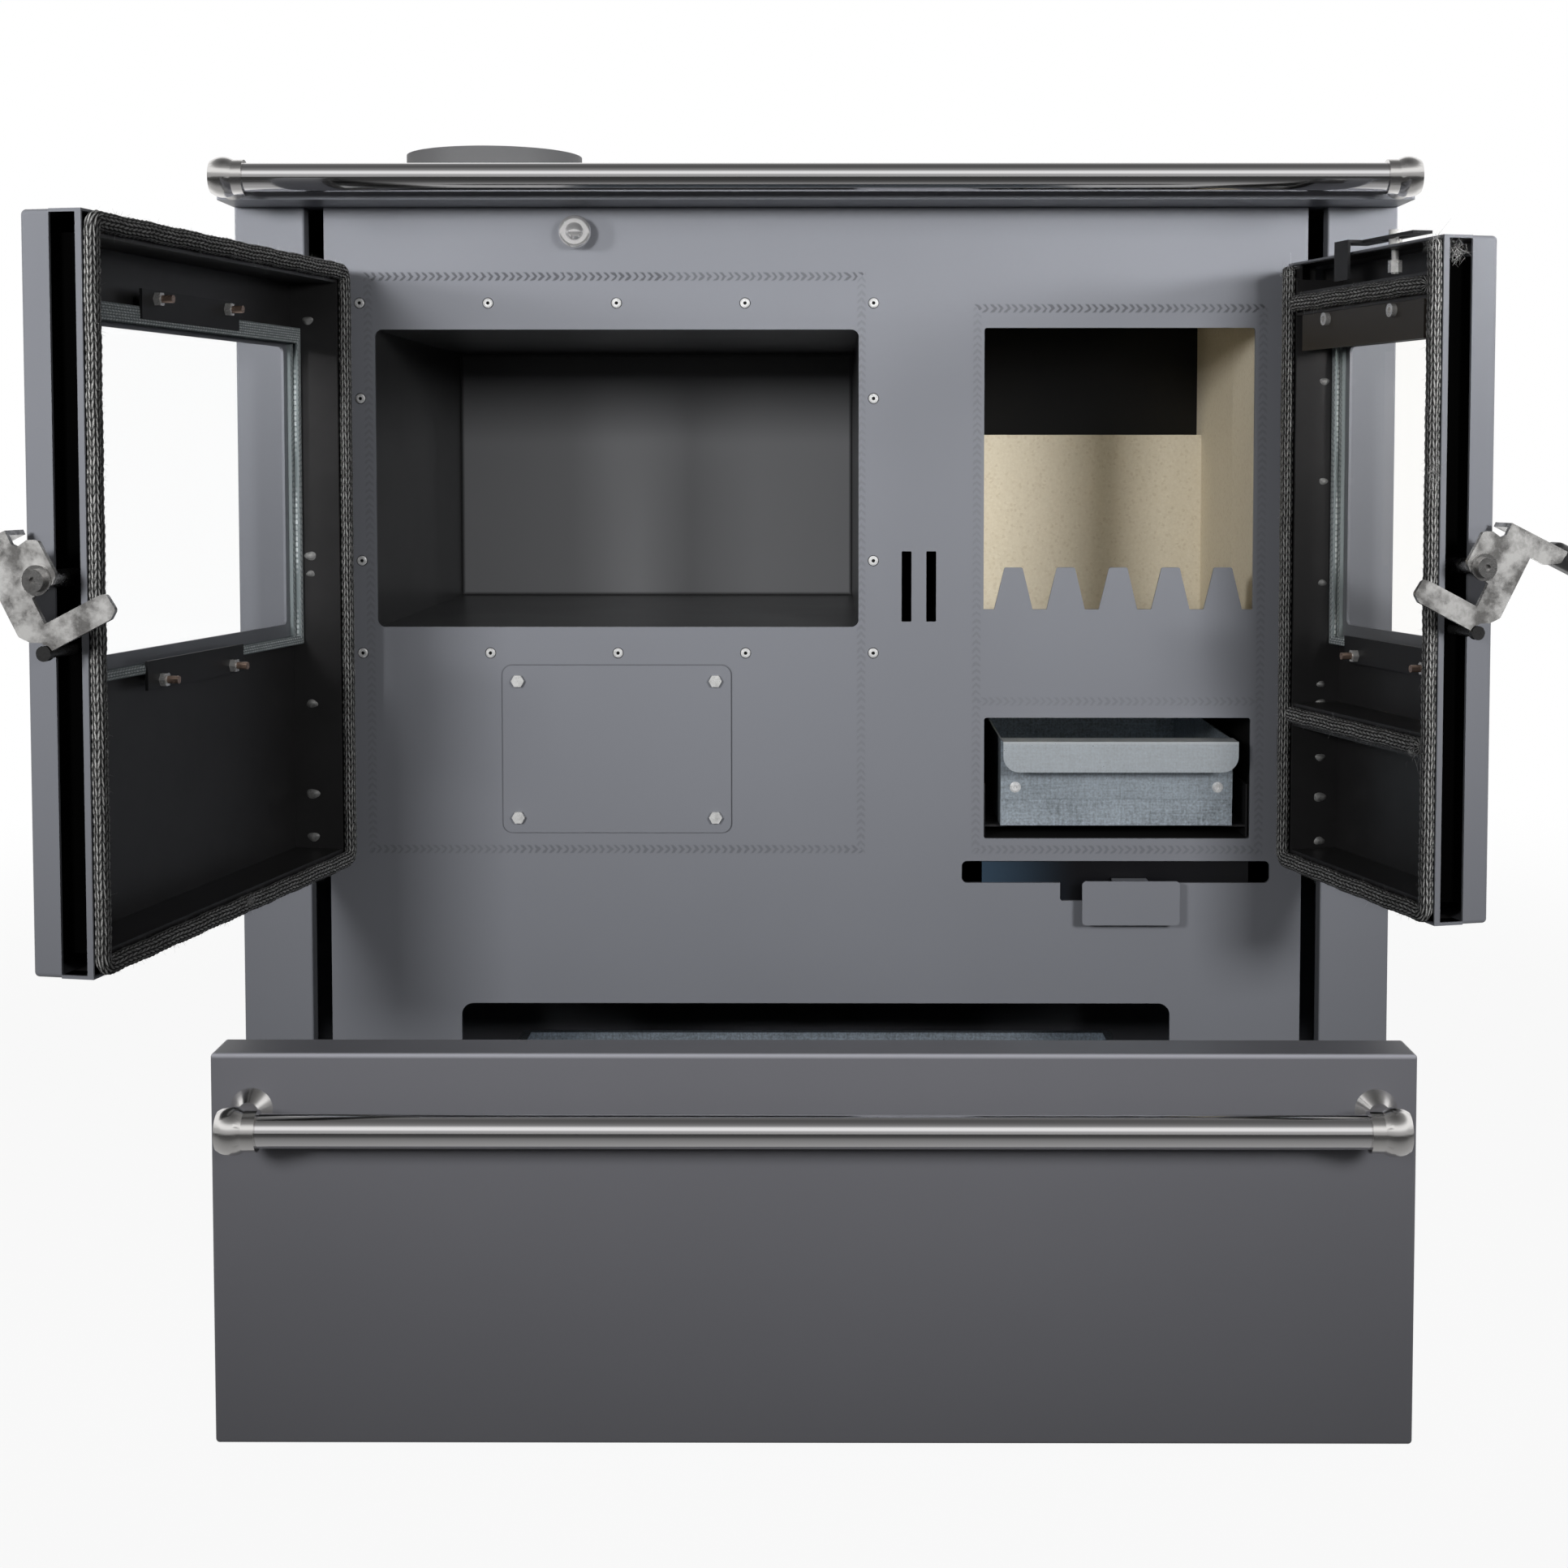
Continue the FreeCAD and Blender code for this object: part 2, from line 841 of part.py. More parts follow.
# Ash pan with a riveted grip lip
def make_ash_pan():
    half = pan_width / 2
    d1 = pan_front + pan_length
    t = pan_sheet
    top = pan_bottom + pan_height
    pan = box(ash_x - half, ash_x + half, pan_front, d1, pan_bottom, top)
    inner = half - t
    pan = pan.cut(box(ash_x - inner, ash_x + inner, pan_front + t, d1 - t, pan_bottom + t, top + past))
    holes = []
    for side in (-1, 1):
        x = ash_x + side * pan_rivet_half
        z = top - pan_rivet_drop
        holes.append(rod_d(rivet_shank + rivet_play, x, pan_front - past, pan_front + t + past, z))
    return pan.cut(holes)


def make_ash_pan_lip():
    half = pan_width / 2
    t = pan_sheet
    top = pan_bottom + pan_height
    front = pan_front - pan_lip_out
    x0 = ash_x - half
    x1 = ash_x + half
    tail = box(x0, x1, pan_front - t, pan_front, top - pan_lip_tail, top + t)
    roof = box(x0, x1, front, pan_front, top, top + t)
    flap_bottom = top - pan_lip_drop
    corners = [
        (x0, flap_bottom, pan_lip_corner),
        (x1, flap_bottom, pan_lip_corner),
        (x1, top + t, 0.0),
        (x0, top + t, 0.0),
    ]
    flap = front_plate(corners, front - t, front)
    lip = join(tail, roof, flap)
    holes = []
    for side in (-1, 1):
        x = ash_x + side * pan_rivet_half
        z = top - pan_rivet_drop
        holes.append(rod_d(rivet_shank + rivet_play, x, pan_front - t - past, pan_front + past, z))
    return lip.cut(holes)


def make_ash_pan_rivets():
    rivets = []
    z = pan_bottom + pan_height - pan_rivet_drop
    for side in (-1, 1):
        x = ash_x + side * pan_rivet_half
        rivets.append(blind_rivet(x, pan_front - pan_sheet, z, 2 * pan_sheet + rivet_tail))
    return rivets


# Air slider behind the panel, its tab bent out through the slot and down
def slider_band():
    low = air_slot_bottom - air_notch_drop - slider_margin
    high = air_slot_bottom + air_slot_height + slider_margin
    return low, high


def make_air_slider():
    low, high = slider_band()
    d0 = panel_thickness + slider_play
    t = slider_sheet
    half = slider_width / 2
    blade = box(air_slot_x - half, air_slot_x + half, d0, d0 + t, low, high)
    neck_low = air_slot_bottom + slider_play
    top = neck_low + tab_rise
    neck = box(tab_x - tab_neck / 2, tab_x + tab_neck / 2, -tab_out, d0 + t, top - t, top)
    corners = [
        (tab_x - tab_width / 2, top - tab_drop, tab_corner),
        (tab_x + tab_width / 2, top - tab_drop, tab_corner),
        (tab_x + tab_width / 2, top, tab_corner),
        (tab_x - tab_width / 2, top, tab_corner),
    ]
    tab = front_plate(corners, -tab_out - t, -tab_out)
    return join(blade, neck, tab)


def make_air_slider_guides():
    low, high = slider_band()
    half = air_slot_width / 2 + slider_guide_width
    d0 = panel_thickness
    gap_d = d0 + slider_sheet + 2 * slider_play
    guides = []
    for edge, way in ((low - slider_play, -1), (high + slider_play, 1)):
        spacer = box(air_slot_x - half, air_slot_x + half, d0, gap_d, edge, edge + way * slider_guide_width)
        keeper = box(
            air_slot_x - half, air_slot_x + half, gap_d, gap_d + slider_sheet,
            edge - way * slider_guide_lap, edge + way * slider_guide_width,
        )
        guides.append(join(spacer, keeper))
    return guides


# Damper pull: knob, rod with its plate, and the bush behind the panel
def make_damper_knob():
    base = -knob_gap
    face = Vector(damper_x, front_y + base, damper_z)
    out = Vector(0, -1, 0)
    body = Part.makeCylinder(knob_radius - knob_ring, knob_length, face, out)
    ring_at = Vector(damper_x, front_y + base - knob_length + knob_ring, damper_z)
    bead = Part.makeTorus(knob_radius - knob_ring, knob_ring, ring_at, out)
    dome_at = Vector(damper_x, front_y + base - knob_length + knob_dome_depth, damper_z)
    dome = Part.makeSphere(knob_dome, dome_at)
    back = box(
        damper_x - 2 * knob_radius, damper_x + 2 * knob_radius, base, base + 2 * knob_radius,
        damper_z - 2 * knob_radius, damper_z + 2 * knob_radius,
    )
    knob = join(body, bead, dome).cut(back)
    return knob.cut(rod_d(damper_rod_radius, damper_x, base - knob_length / 2, base + past, damper_z))


def make_damper_rod():
    start = -knob_gap - knob_length / 2
    end = start + damper_rod_length
    pull = rod_d(damper_rod_radius, damper_x, start, end, damper_z)
    half_x = damper_plate_width / 2
    half_z = damper_plate_height / 2
    flap = box(damper_x - half_x, damper_x + half_x, end, end + sheet, damper_z - half_z, damper_z + half_z)
    return join(pull, flap)


def make_damper_guide():
    d1 = panel_thickness + damper_guide_length
    bush = rod_d(damper_guide_radius, damper_x, panel_thickness, d1, damper_z)
    bore = damper_rod_radius + running_play
    return bush.cut(rod_d(bore, damper_x, panel_thickness - past, d1 + past, damper_z))


# Top frame with the ledge that carries the cooking plate
def make_top_frame():
    front = -frame_overhang
    frame = box(-half_body, half_body, front, body_depth, body_top, frame_top)
    rounded = []
    for edge in frame.Edges:
        low = edge.BoundBox
        if low.ZMax > frame_top - 1e-6:
            rounded.append(edge)
    frame = frame.makeFillet(frame_round, rounded)
    x = half_body - frame_rim
    d0 = panel_thickness + frame_front_rim
    d1 = body_depth - frame_rim
    well = box(-x, x, d0, d1, plate_bottom, frame_top + past)
    ledge = frame_ledge
    through = box(-x + ledge, x - ledge, d0 + ledge, d1 - ledge, body_top - past, frame_top)
    return frame.cut([well, through])


def make_cooking_plate():
    x = half_body - frame_rim - plate_gap
    d0 = panel_thickness + frame_front_rim + plate_gap
    d1 = body_depth - frame_rim - plate_gap
    plate = box(-x, x, d0, d1, plate_bottom, plate_top)
    seat = plate_top - lid_thickness
    hole = rod_z(lid_radius - lid_step, lid_x, lid_d, plate_bottom - past, seat + past)
    step = rod_z(lid_radius + lid_gap, lid_x, lid_d, seat, plate_top + past)
    flue = rod_z(flue_bore / 2 - flue_ledge, flue_x, flue_d, plate_bottom - past, plate_top + past)
    return plate.cut([hole, step, flue])


def make_hob_lid():
    seat = plate_top - lid_thickness
    lid = rod_z(lid_radius, lid_x, lid_d, seat, plate_top)
    x0 = lid_x + lid_slot_offset
    slot = box(
        x0, x0 + lid_slot_length, lid_d - lid_slot_width / 2, lid_d + lid_slot_width / 2,
        plate_top - lid_thickness / 2, plate_top + past,
    )
    return lid.cut(slot)


def make_flue_collar():
    radius = flue_bore / 2
    top = plate_top + flue_height
    tube = rod_z(radius + flue_wall, flue_x, flue_d, plate_top, top)
    flange = rod_z(radius + flue_flange, flue_x, flue_d, plate_top, plate_top + flue_flange_thickness)
    return join(tube, flange).cut(rod_z(radius, flue_x, flue_d, plate_top - past, top + past))


# A rail is a tube between two ball ends, each on a flared stem
def make_rail(half, d, z):
    reach = half - collar_reach
    tube = rod_x(rail_radius, -reach, reach, d, z)
    return tube.cut(rod_x(rail_radius - rail_wall, -reach - past, reach + past, d, z))


def make_rail_ends(half, d, z, wall_d):
    ends = []
    for side in (-1, 1):
        centre = Vector(side * half, front_y + d, z)
        ball = Part.makeSphere(ball_radius, centre)
        span = 2 * ball_radius
        ball = ball.cut(
            box(side * (half + ball_flat), side * (half + span), d - span, d + span, z - span, z + span)
        )
        collar = rod_x(collar_radius, side * (half - collar_reach), side * half, d, z)
        stem = rod_d(stem_radius, side * half, d, wall_d, z)
        foot_at = Vector(side * half, front_y + wall_d, z)
        foot = Part.makeCone(foot_radius, stem_radius, foot_length, foot_at, Vector(0, -1, 0))
        ends.append(join(ball, collar, stem, foot))
    return ends


# Drawer, built shut and then pulled out to its resting place
def pulled_out(shape):
    moved = shape.copy()
    moved.translate(Vector(0, -drawer_rest_out, 0))
    return moved


def make_drawer_front():
    half = drawer_width / 2
    top = drawer_bottom + drawer_height
    return tray(-half, half, face_d, face_d + drawer_flange, drawer_bottom, top, sheet, drawer_round)


def make_drawer_box():
    half = drawer_box_width / 2
    t = drawer_box_sheet
    d0 = face_d + sheet
    top = drawer_box_bottom + drawer_box_height
    outer = box(-half, half, d0, drawer_box_end, drawer_box_bottom, top)
    rim = drawer_box_rim
    lip = box(-half - rim, half + rim, d0, drawer_box_end + rim, top - t, top)
    hollow = box(-half + t, half - t, d0 + t, drawer_box_end - t, drawer_box_bottom + t, top + past)
    return join(outer, lip).cut(hollow)


def make_drawer_runners():
    runners = []
    top = drawer_box_bottom - runner_play
    t = runner_sheet
    d1 = drawer_box_end
    for side in (-1, 1):
        outer = side * (drawer_box_width / 2 - runner_inset)
        inner = outer - side * runner_width
        web = box(outer, outer - side * t, runner_start, d1, base_top, top)
        shelf = box(outer, inner, runner_start, d1, top - t, top)
        foot = box(outer, inner, runner_start, d1, base_top, base_top + t)
        runners.append(join(web, shelf, foot))
    return runners


# Doors are built shut and then turned open about their hinge axis
def door_x(door, u):
    return door["side"] * (hinge_x - u)


def door_box(door, u0, u1, d0, d1, z0, z1):
    return box(door_x(door, u0), door_x(door, u1), d0, d1, z0, z1)


def door_ring(door, u0, u1, z0, z1, width, d0, d1):
    return ring(door_x(door, u0), door_x(door, u1), z0, z1, width, d0, d1)


def opened(door, shape):
    turned = shape.copy()
    axis_at = Vector(door["side"] * hinge_x, front_y - hinge_out, 0)
    turned.rotate(axis_at, Vector(0, 0, 1), door["side"] * door["angle"])
    return turned


def window_span(door):
    return frame_past_hinge + window_margin, door["free"] - window_margin


def make_door_skin(door):
    x0 = door_x(door, -skin_past_hinge)
    x1 = door_x(door, door["free"])
    skin = tray(x0, x1, face_d, skin_back_d, door_bottom, door_top, skin_sheet, skin_round)
    u0, u1 = window_span(door)
    corners = rectangle(door_x(door, u0), door_x(door, u1), window_bottom, window_top, window_corner)
    return skin.cut(front_plate(corners, face_d - past, skin_inner_d + past))


def make_door_frame(door):
    u0 = frame_past_hinge
    u1 = door["free"]
    w = wall_inset
    seat_width = w + frame_sheet / 2
    wall_top = seat_front_d + wall_rise
    wall = door_ring(door, u0 + w, u1 - w, door_bottom + w, door_top - w, frame_sheet, skin_inner_d, wall_top)
    seat = door_ring(door, u0, u1, door_bottom, door_top, seat_width, seat_back_d, seat_front_d)
    lip = door_ring(door, u0, u1, door_bottom, door_top, lip_sheet, seat_back_d, seat_front_d + lip_height)
    t = frame_sheet
    top_strip = door_box(door, u0, u1, skin_back_d, seat_back_d, door_top - t, door_top)
    bottom_strip = door_box(door, u0, u1, skin_back_d, seat_back_d, door_bottom, door_bottom + t)
    hinge_strip = door_box(door, u0, u0 + t, skin_back_d, seat_back_d, door_bottom, door_top)
    return join(wall, seat, lip, top_strip, bottom_strip, hinge_strip)


# Channel across the fire door that holds a cross rope
def cross_channel(door, z):
    u0 = frame_past_hinge + wall_inset
    u1 = door["free"] - wall_inset
    half = rope_half + rope_play
    t = frame_sheet
    wall_top = seat_front_d + wall_rise
    lower = door_box(door, u0, u1, skin_inner_d, wall_top, z - half - t, z - half)
    upper = door_box(door, u0, u1, skin_inner_d, wall_top, z + half, z + half + t)
    seat = door_box(door, u0, u1, seat_back_d, seat_front_d, z - half, z + half)
    return join(lower, upper, seat)


def make_fire_door_frame(door):
    frame = join(
        make_door_frame(door), cross_channel(door, cross_rope_upper), cross_channel(door, cross_rope_middle)
    )
    x = door_x(door, slide_bolt_u)
    low = door_top - slide_bolt_tail - past
    hole = rod_z(slide_bolt_radius + slide_bolt_play, x, slide_bolt_d, low, door_top + past)
    inset = wall_inset + frame_sheet
    chamber_floor = cross_rope_upper + rope_half + rope_play + frame_sheet
    chamber = door_box(
        door, frame_past_hinge + inset, door["free"] - inset, skin_inner_d - past, past,
        chamber_floor, door_top - frame_sheet,
    )
    return frame.cut([hole, chamber])


# Rope seal: a flattened rope along straight runs joined by arcs
def rope_profile(centre, along):
    depth = Vector(0, 1, 0)
    across = along.cross(depth).normalize()
    oval = Part.Ellipse(centre + across * rope_half, centre + depth * rope_radius, centre)
    return Part.Wire([oval.toShape()])


def rope_sweep(edges, start, along):
    return Part.Wire(edges).makePipeShell([rope_profile(start, along)], True, False)


def make_oven_door_rope(door):
    x0 = door_x(door, rope_hinge_u)
    x1 = door_x(door, door["free"] - rope_inset)
    corners = rectangle(x0, x1, rope_bottom, rope_top, rope_corner)

    def place(point):
        return Vector(point.x, front_y + rope_d, point.y)

    path = outline(corners, place)
    first = path.OrderedEdges[0]
    begin = first.FirstParameter
    return rope_sweep(path.OrderedEdges, first.valueAt(begin), first.tangentAt(begin))


# The fire door's rope runs down both sides and along the bottom
def make_fire_door_rope(door):
    y = front_y + rope_d
    x0 = door_x(door, rope_hinge_u)
    x1 = door_x(door, door["free"] - rope_inset)
    inward = 1 if x1 > x0 else -1
    r = rope_corner
    bend = r * (1 - math.sqrt(0.5))
    top = door_top - frame_sheet - rope_play
    low = rope_bottom
    points = [
        Vector(x0, y, top),
        Vector(x0, y, low + r),
        Vector(x0 + inward * bend, y, low + bend),
        Vector(x0 + inward * r, y, low),
        Vector(x1 - inward * r, y, low),
        Vector(x1 - inward * bend, y, low + bend),
        Vector(x1, y, low + r),
        Vector(x1, y, top),
    ]
    edges = [
        Part.LineSegment(points[0], points[1]).toShape(),
        Part.Arc(points[1], points[2], points[3]).toShape(),
        Part.LineSegment(points[3], points[4]).toShape(),
        Part.Arc(points[4], points[5], points[6]).toShape(),
        Part.LineSegment(points[6], points[7]).toShape(),
    ]
    ropes = [rope_sweep(edges, points[0], Vector(0, 0, -1))]
    inset = wall_inset + frame_sheet + rope_play
    u0 = frame_past_hinge + inset
    u1 = door["free"] - inset
    for z in (cross_rope_upper, cross_rope_middle):
        run = Vector(door_x(door, u1) - door_x(door, u0), 0, 0)
        start = Vector(door_x(door, u0), y, z)
        ropes.append(Part.Face(rope_profile(start, run)).extrude(run))
    return ropes


def make_glass(door):
    u0, u1 = window_span(door)
    u0 = u0 - glass_side_lap
    u1 = u1 + glass_side_lap
    return door_box(door, u0, u1, glass_front_d, glass_back_d, glass_bottom, glass_top)


def make_tape(door):
    u0, u1 = window_span(door)
    side = glass_side_lap + tape_edge
    low = glass_bottom - tape_edge
    high = glass_top + tape_edge
    band = door_box(door, u0 - side, u1 + side, skin_inner_d, tape_back_d, low, high)
    opening = door_box(
        door, u0, u1, skin_inner_d - past, tape_back_d + past, window_bottom, window_top
    )
    return band.cut([opening, make_glass(door)])


def window_centre(door):
    u0, u1 = window_span(door)
    return (u0 + u1) / 2


def stud_places(door, above):
    z = glass_top + stud_offset if above else glass_bottom - stud_offset
    middle = window_centre(door)
    return [(door_x(door, middle - stud_half), z), (door_x(door, middle + stud_half), z)]


# A clamp strip that presses the glass onto the skin
def make_clamp(door, above):
    middle = window_centre(door)
    if above:
        z0 = glass_top - clamp_lap
        z1 = glass_top + stud_offset + clamp_past_stud
    else:
        z0 = glass_bottom - stud_offset - clamp_past_stud
        z1 = glass_bottom + clamp_lap
    half = clamp_length / 2
    strip = door_box(door, middle - half, middle + half, tape_back_d, tape_back_d + clamp_sheet, z0, z1)
    holes = []
    for x, z in stud_places(door, above):
        end = tape_back_d + clamp_sheet + past
        holes.append(rod_d(stud_radius + stud_play, x, tape_back_d - past, end, z))
    return strip.cut(holes)


# Welded studs with their nuts
def make_studs(door, above):
    pieces = []
    seat = tape_back_d + clamp_sheet
    for x, z in stud_places(door, above):
        pieces.append(rod_d(stud_radius, x, skin_inner_d, skin_inner_d + stud_length, z))
        nut = hexagon(nut_flats, x, z, seat, seat + nut_height)
        pieces.append(nut.cut(rod_d(stud_radius + nut_play, x, seat - past, seat + nut_height + past, z)))
    return pieces


# Deflector over the fire window, held off the skin by two screws
def deflector_level():
    top = cross_rope_upper - rope_half - 2 * rope_play - frame_sheet
    return top - deflector_drop, top


def deflector_screw_places(door):
    middle = window_centre(door)
    z = deflector_level()[1] - deflector_screw_drop
    places = (middle - deflector_screw_half, middle + deflector_screw_half)
    return [(door_x(door, u), z) for u in places]


def make_deflector(door):
    z0, z1 = deflector_level()
    middle = window_centre(door)
    half = deflector_length / 2
    d0 = face_d + deflector_out
    plate = door_box(door, middle - half, middle + half, d0, d0 + deflector_sheet, z0, z1)
    holes = []
    for x, z in deflector_screw_places(door):
        holes.append(rod_d(standoff_radius, x, d0 - past, d0 + deflector_sheet + past, z))
    return plate.cut(holes)


def make_deflector_screws(door):
    screws = []
    d0 = face_d + deflector_out
    d1 = d0 + deflector_sheet
    for x, z in deflector_screw_places(door):
        shank = rod_d(standoff_radius, x, skin_inner_d, d1, z)
        head = rod_d(screw_head_radius, x, d1, d1 + screw_head_height, z)
        end = d1 + screw_head_height
        socket = rod_d(screw_socket_radius, x, end - screw_socket_depth, end + past, z)
        screws.append(join(shank, head).cut(socket))
    return screws


# Air slide on top of the fire door, guided by a bolt in its slot
def make_air_slide(door):
    z0 = door_top + slide_rise
    z1 = z0 + slide_sheet
    d1 = -slide_front_gap
    half = slide_width / 2
    u1 = slide_start + slide_length
    bar = door_box(door, slide_start, u1, slide_bolt_d - half, slide_bolt_d + half, z0, z1)
    fold_end = slide_start + slide_tab_width
    bridge = door_box(door, slide_start, fold_end, slide_bolt_d, d1, z0, z1)
    fold = door_box(door, slide_start, fold_end, d1 - slide_sheet, d1, z0 - slide_tab_drop, z1)
    slide = join(bar, bridge, fold)
    r = slide_bolt_radius + slide_bolt_play
    ends = (door_x(door, slide_bolt_u - slide_travel), door_x(door, slide_bolt_u + slide_travel))
    slot = box(ends[0], ends[1], slide_bolt_d - r, slide_bolt_d + r, z0 - past, z1 + past)
    rounds = [rod_z(r, x, slide_bolt_d, z0 - past, z1 + past) for x in ends]
    return slide.cut([slot] + rounds)


def make_slide_bolt(door):
    x = door_x(door, slide_bolt_u)
    low = door_top - slide_bolt_tail
    bar_bottom = door_top + slide_rise
    high = bar_bottom + slide_sheet + slide_play
    shank = rod_z(slide_bolt_radius, x, slide_bolt_d, low, high)
    sleeve = rod_z(screw_head_radius, x, slide_bolt_d, door_top, bar_bottom - slide_play)
    head = rod_z(screw_head_radius, x, slide_bolt_d, high, high + screw_head_height)
    return join(shank, sleeve, head)


def make_slide_nuts(door):
    x = door_x(door, slide_bolt_u)
    nuts = []
    for i in range(2):
        top = door_top - frame_sheet - slide_nut_drop - i * (nut_height + nut_gap)
        flat = hexagon(nut_flats, 0, 0, 0, nut_height)
        flat.rotate(Vector(0, front_y, 0), Vector(1, 0, 0), -90)
        flat.translate(Vector(x, slide_bolt_d, top))
        bore = slide_bolt_radius + nut_play
        nuts.append(flat.cut(rod_z(bore, x, slide_bolt_d, top - 2 * nut_height, top + past)))
    return nuts


# Hinges: a bracket with a pin on the panel, a barrel with a leaf on the door
def hinge_levels():
    step = 2 * hinge_barrel_height + hinge_gap
    return [door_bottom + hinge_from_edge, door_top - hinge_from_edge - step]


def make_hinge_brackets(door):
    brackets = []
    x = door["side"] * hinge_x
    h = hinge_barrel_height
    for z in hinge_levels():
        barrel = rod_z(hinge_barrel_radius, x, -hinge_out, z, z + h)
        pin = rod_z(hinge_pin_radius, x, -hinge_out, z, z + 2 * h + 2 * hinge_gap)
        web = box(x - hinge_web / 2, x + hinge_web / 2, -hinge_out, 0, z, z + h)
        m = hinge_foot_margin
        foot = door_box(door, hinge_foot_inner, -hinge_foot_outer, -hinge_foot_thickness, 0, z - m, z + h + m)
        brackets.append(join(barrel, pin, web, foot))
    return brackets


def make_hinge_barrels(door):
    barrels = []
    x = door["side"] * hinge_x
    h = hinge_barrel_height
    half = hinge_leaf_thickness / 2
    for z in hinge_levels():
        low = z + h + hinge_gap
        barrel = rod_z(hinge_barrel_radius, x, -hinge_out, low, low + h)
        leaf = door_box(door, 0, frame_past_hinge, -hinge_out - half, -hinge_out + half, low, low + h)
        bore = rod_z(hinge_pin_radius + running_play, x, -hinge_out, low - past, low + h + past)
        barrels.append(join(barrel, leaf).cut(bore))
    return barrels


# Latch: a pivot and a stop on the door's free edge, and the lever plate with its grip
def latch_sides(door):
    middle = door["free"] + latch_offset
    return middle - latch_sheet / 2, middle + latch_sheet / 2


def make_latch_pins(door):
    near, far = latch_sides(door)
    root = door_x(door, door["free"] - wall_inset)
    d = latch_pivot_d
    z = latch_pivot_z
    play = latch_side_play
    sleeve = rod_x(latch_sleeve_radius, root, door_x(door, near - play), d, z)
    journal = rod_x(latch_journal_radius, door_x(door, near - play), door_x(door, far + play), d, z)
    seat = far + play
    washer = rod_x(latch_washer_radius, door_x(door, seat), door_x(door, seat + latch_washer), d, z)
    top = seat + latch_washer + latch_head_height
    head = rod_x(latch_head_radius, door_x(door, seat + latch_washer), door_x(door, top), d, z)
    socket_end = door_x(door, top - latch_head_height / 2)
    socket = rod_x(latch_socket_radius, socket_end, door_x(door, top + past), d, z)
    pivot = join(sleeve, journal, washer, head).cut(socket)
    stop_d = d + latch_stop_a
    stop_z = z + latch_stop_b
    shaft = rod_x(latch_stop_shaft, root, door_x(door, near), stop_d, stop_z)
    button_end = door_x(door, far + latch_washer)
    button = rod_x(latch_stop_head, door_x(door, near - play), button_end, stop_d, stop_z)
    return [pivot, join(shaft, button)]


def make_latch_plate(door):
    near, far = latch_sides(door)
    x0 = door_x(door, near)
    x1 = door_x(door, far)
    corners = [(latch_pivot_d + a, latch_pivot_z + b, r) for a, b, r in latch_outline]
    plate = side_plate(corners, x0, x1)
    start, end = lever_top
    length = math.hypot(end[0] - start[0], end[1] - start[1])
    across = ((end[1] - start[1]) / length, -(end[0] - start[0]) / length)
    t = latch_sheet
    strip = [
        start,
        end,
        (end[0] - across[0] * t, end[1] - across[1] * t),
        (start[0] - across[0] * t, start[1] - across[1] * t),
    ]
    strip_corners = [(latch_pivot_d + a, latch_pivot_z + b, 0.0) for a, b in strip]
    flange = side_plate(strip_corners, x1, door_x(door, far - latch_flange))
    bore = rod_x(latch_journal_radius + running_play, x0, x1, latch_pivot_d, latch_pivot_z)
    notch = rod_x(
        latch_stop_head + latch_stop_play, x0, x1, latch_pivot_d + latch_stop_a, latch_pivot_z + latch_stop_b
    )
    return join(plate, flange).cut([bore, notch])


def make_latch_grip(door):
    near, far = latch_sides(door)
    start, end = lever_top
    length = math.hypot(end[0] - start[0], end[1] - start[1])
    along = ((end[0] - start[0]) / length, (end[1] - start[1]) / length)
    middle_u = far - latch_flange / 2
    x = door_x(door, middle_u)
    drop = latch_sheet
    a = latch_pivot_d + end[0] - along[0] * grip_lap
    b = latch_pivot_z + end[1] - along[1] * grip_lap - drop
    half_x = grip_width / 2
    half_z = grip_thickness / 2
    grip = box(x - half_x, x + half_x, a - grip_length, a, b - half_z, b + half_z)
    grip = grip.makeFillet(grip_round, grip.Edges)
    tilt = math.degrees(math.atan2(-along[1], -along[0]))
    grip.rotate(Vector(x, front_y + a, b), Vector(1, 0, 0), tilt)
    return grip.cut(make_latch_plate(door))


os.makedirs("parts", exist_ok=True)

save("base", make_base())
save("left_side_panel", make_side_panel(-1))
save("right_side_panel", make_side_panel(1))
back_half = half_body - sheet
save("back_panel", box(-back_half, back_half, body_depth - sheet, body_depth, base_top, body_top))
save("inner_body", make_inner_body())
save("front_panel", make_front_panel())
save("top_frame", make_top_frame())
save("cooking_plate", make_cooking_plate())
save("hob_lid", make_hob_lid())
save("flue_collar", make_flue_collar())
top_rail_d = -frame_overhang - top_rail_out
save("top_rail", make_rail(top_rail_half, top_rail_d, top_rail_z))
save("top_rail_ends", *make_rail_ends(top_rail_half, top_rail_d, top_rail_z, -frame_overhang))
save("oven_liner", make_oven_liner())
save("oven_rivets", *make_oven_rivets())
save("cleanout_cover", make_cleanout_cover())
save("cleanout_bolts", *make_cleanout_bolts())
save("firebox_shell", make_firebox_shell())
save("firebox_bricks", *make_bricks())
save("grate", make_grate())
save("ash_box", make_ash_box())
save("ash_guides", *make_ash_guides())
save("ash_pan", make_ash_pan())
save("ash_pan_lip", make_ash_pan_lip())
save("ash_pan_rivets", *make_ash_pan_rivets())
save("air_slider", make_air_slider())
save("air_slider_guides", *make_air_slider_guides())
save("damper_knob", make_damper_knob())
save("damper_rod", make_damper_rod())
save("damper_guide", make_damper_guide())
save("drawer_runners", *make_drawer_runners())
save("drawer_front", pulled_out(make_drawer_front()))
save("drawer_box", pulled_out(make_drawer_box()))
rail_d = face_d - drawer_rail_out
save("drawer_rail", pulled_out(make_rail(drawer_rail_half, rail_d, drawer_rail_z)))
drawer_ends = make_rail_ends(drawer_rail_half, rail_d, drawer_rail_z, face_d)
save("drawer_rail_ends", *[pulled_out(end) for end in drawer_ends])
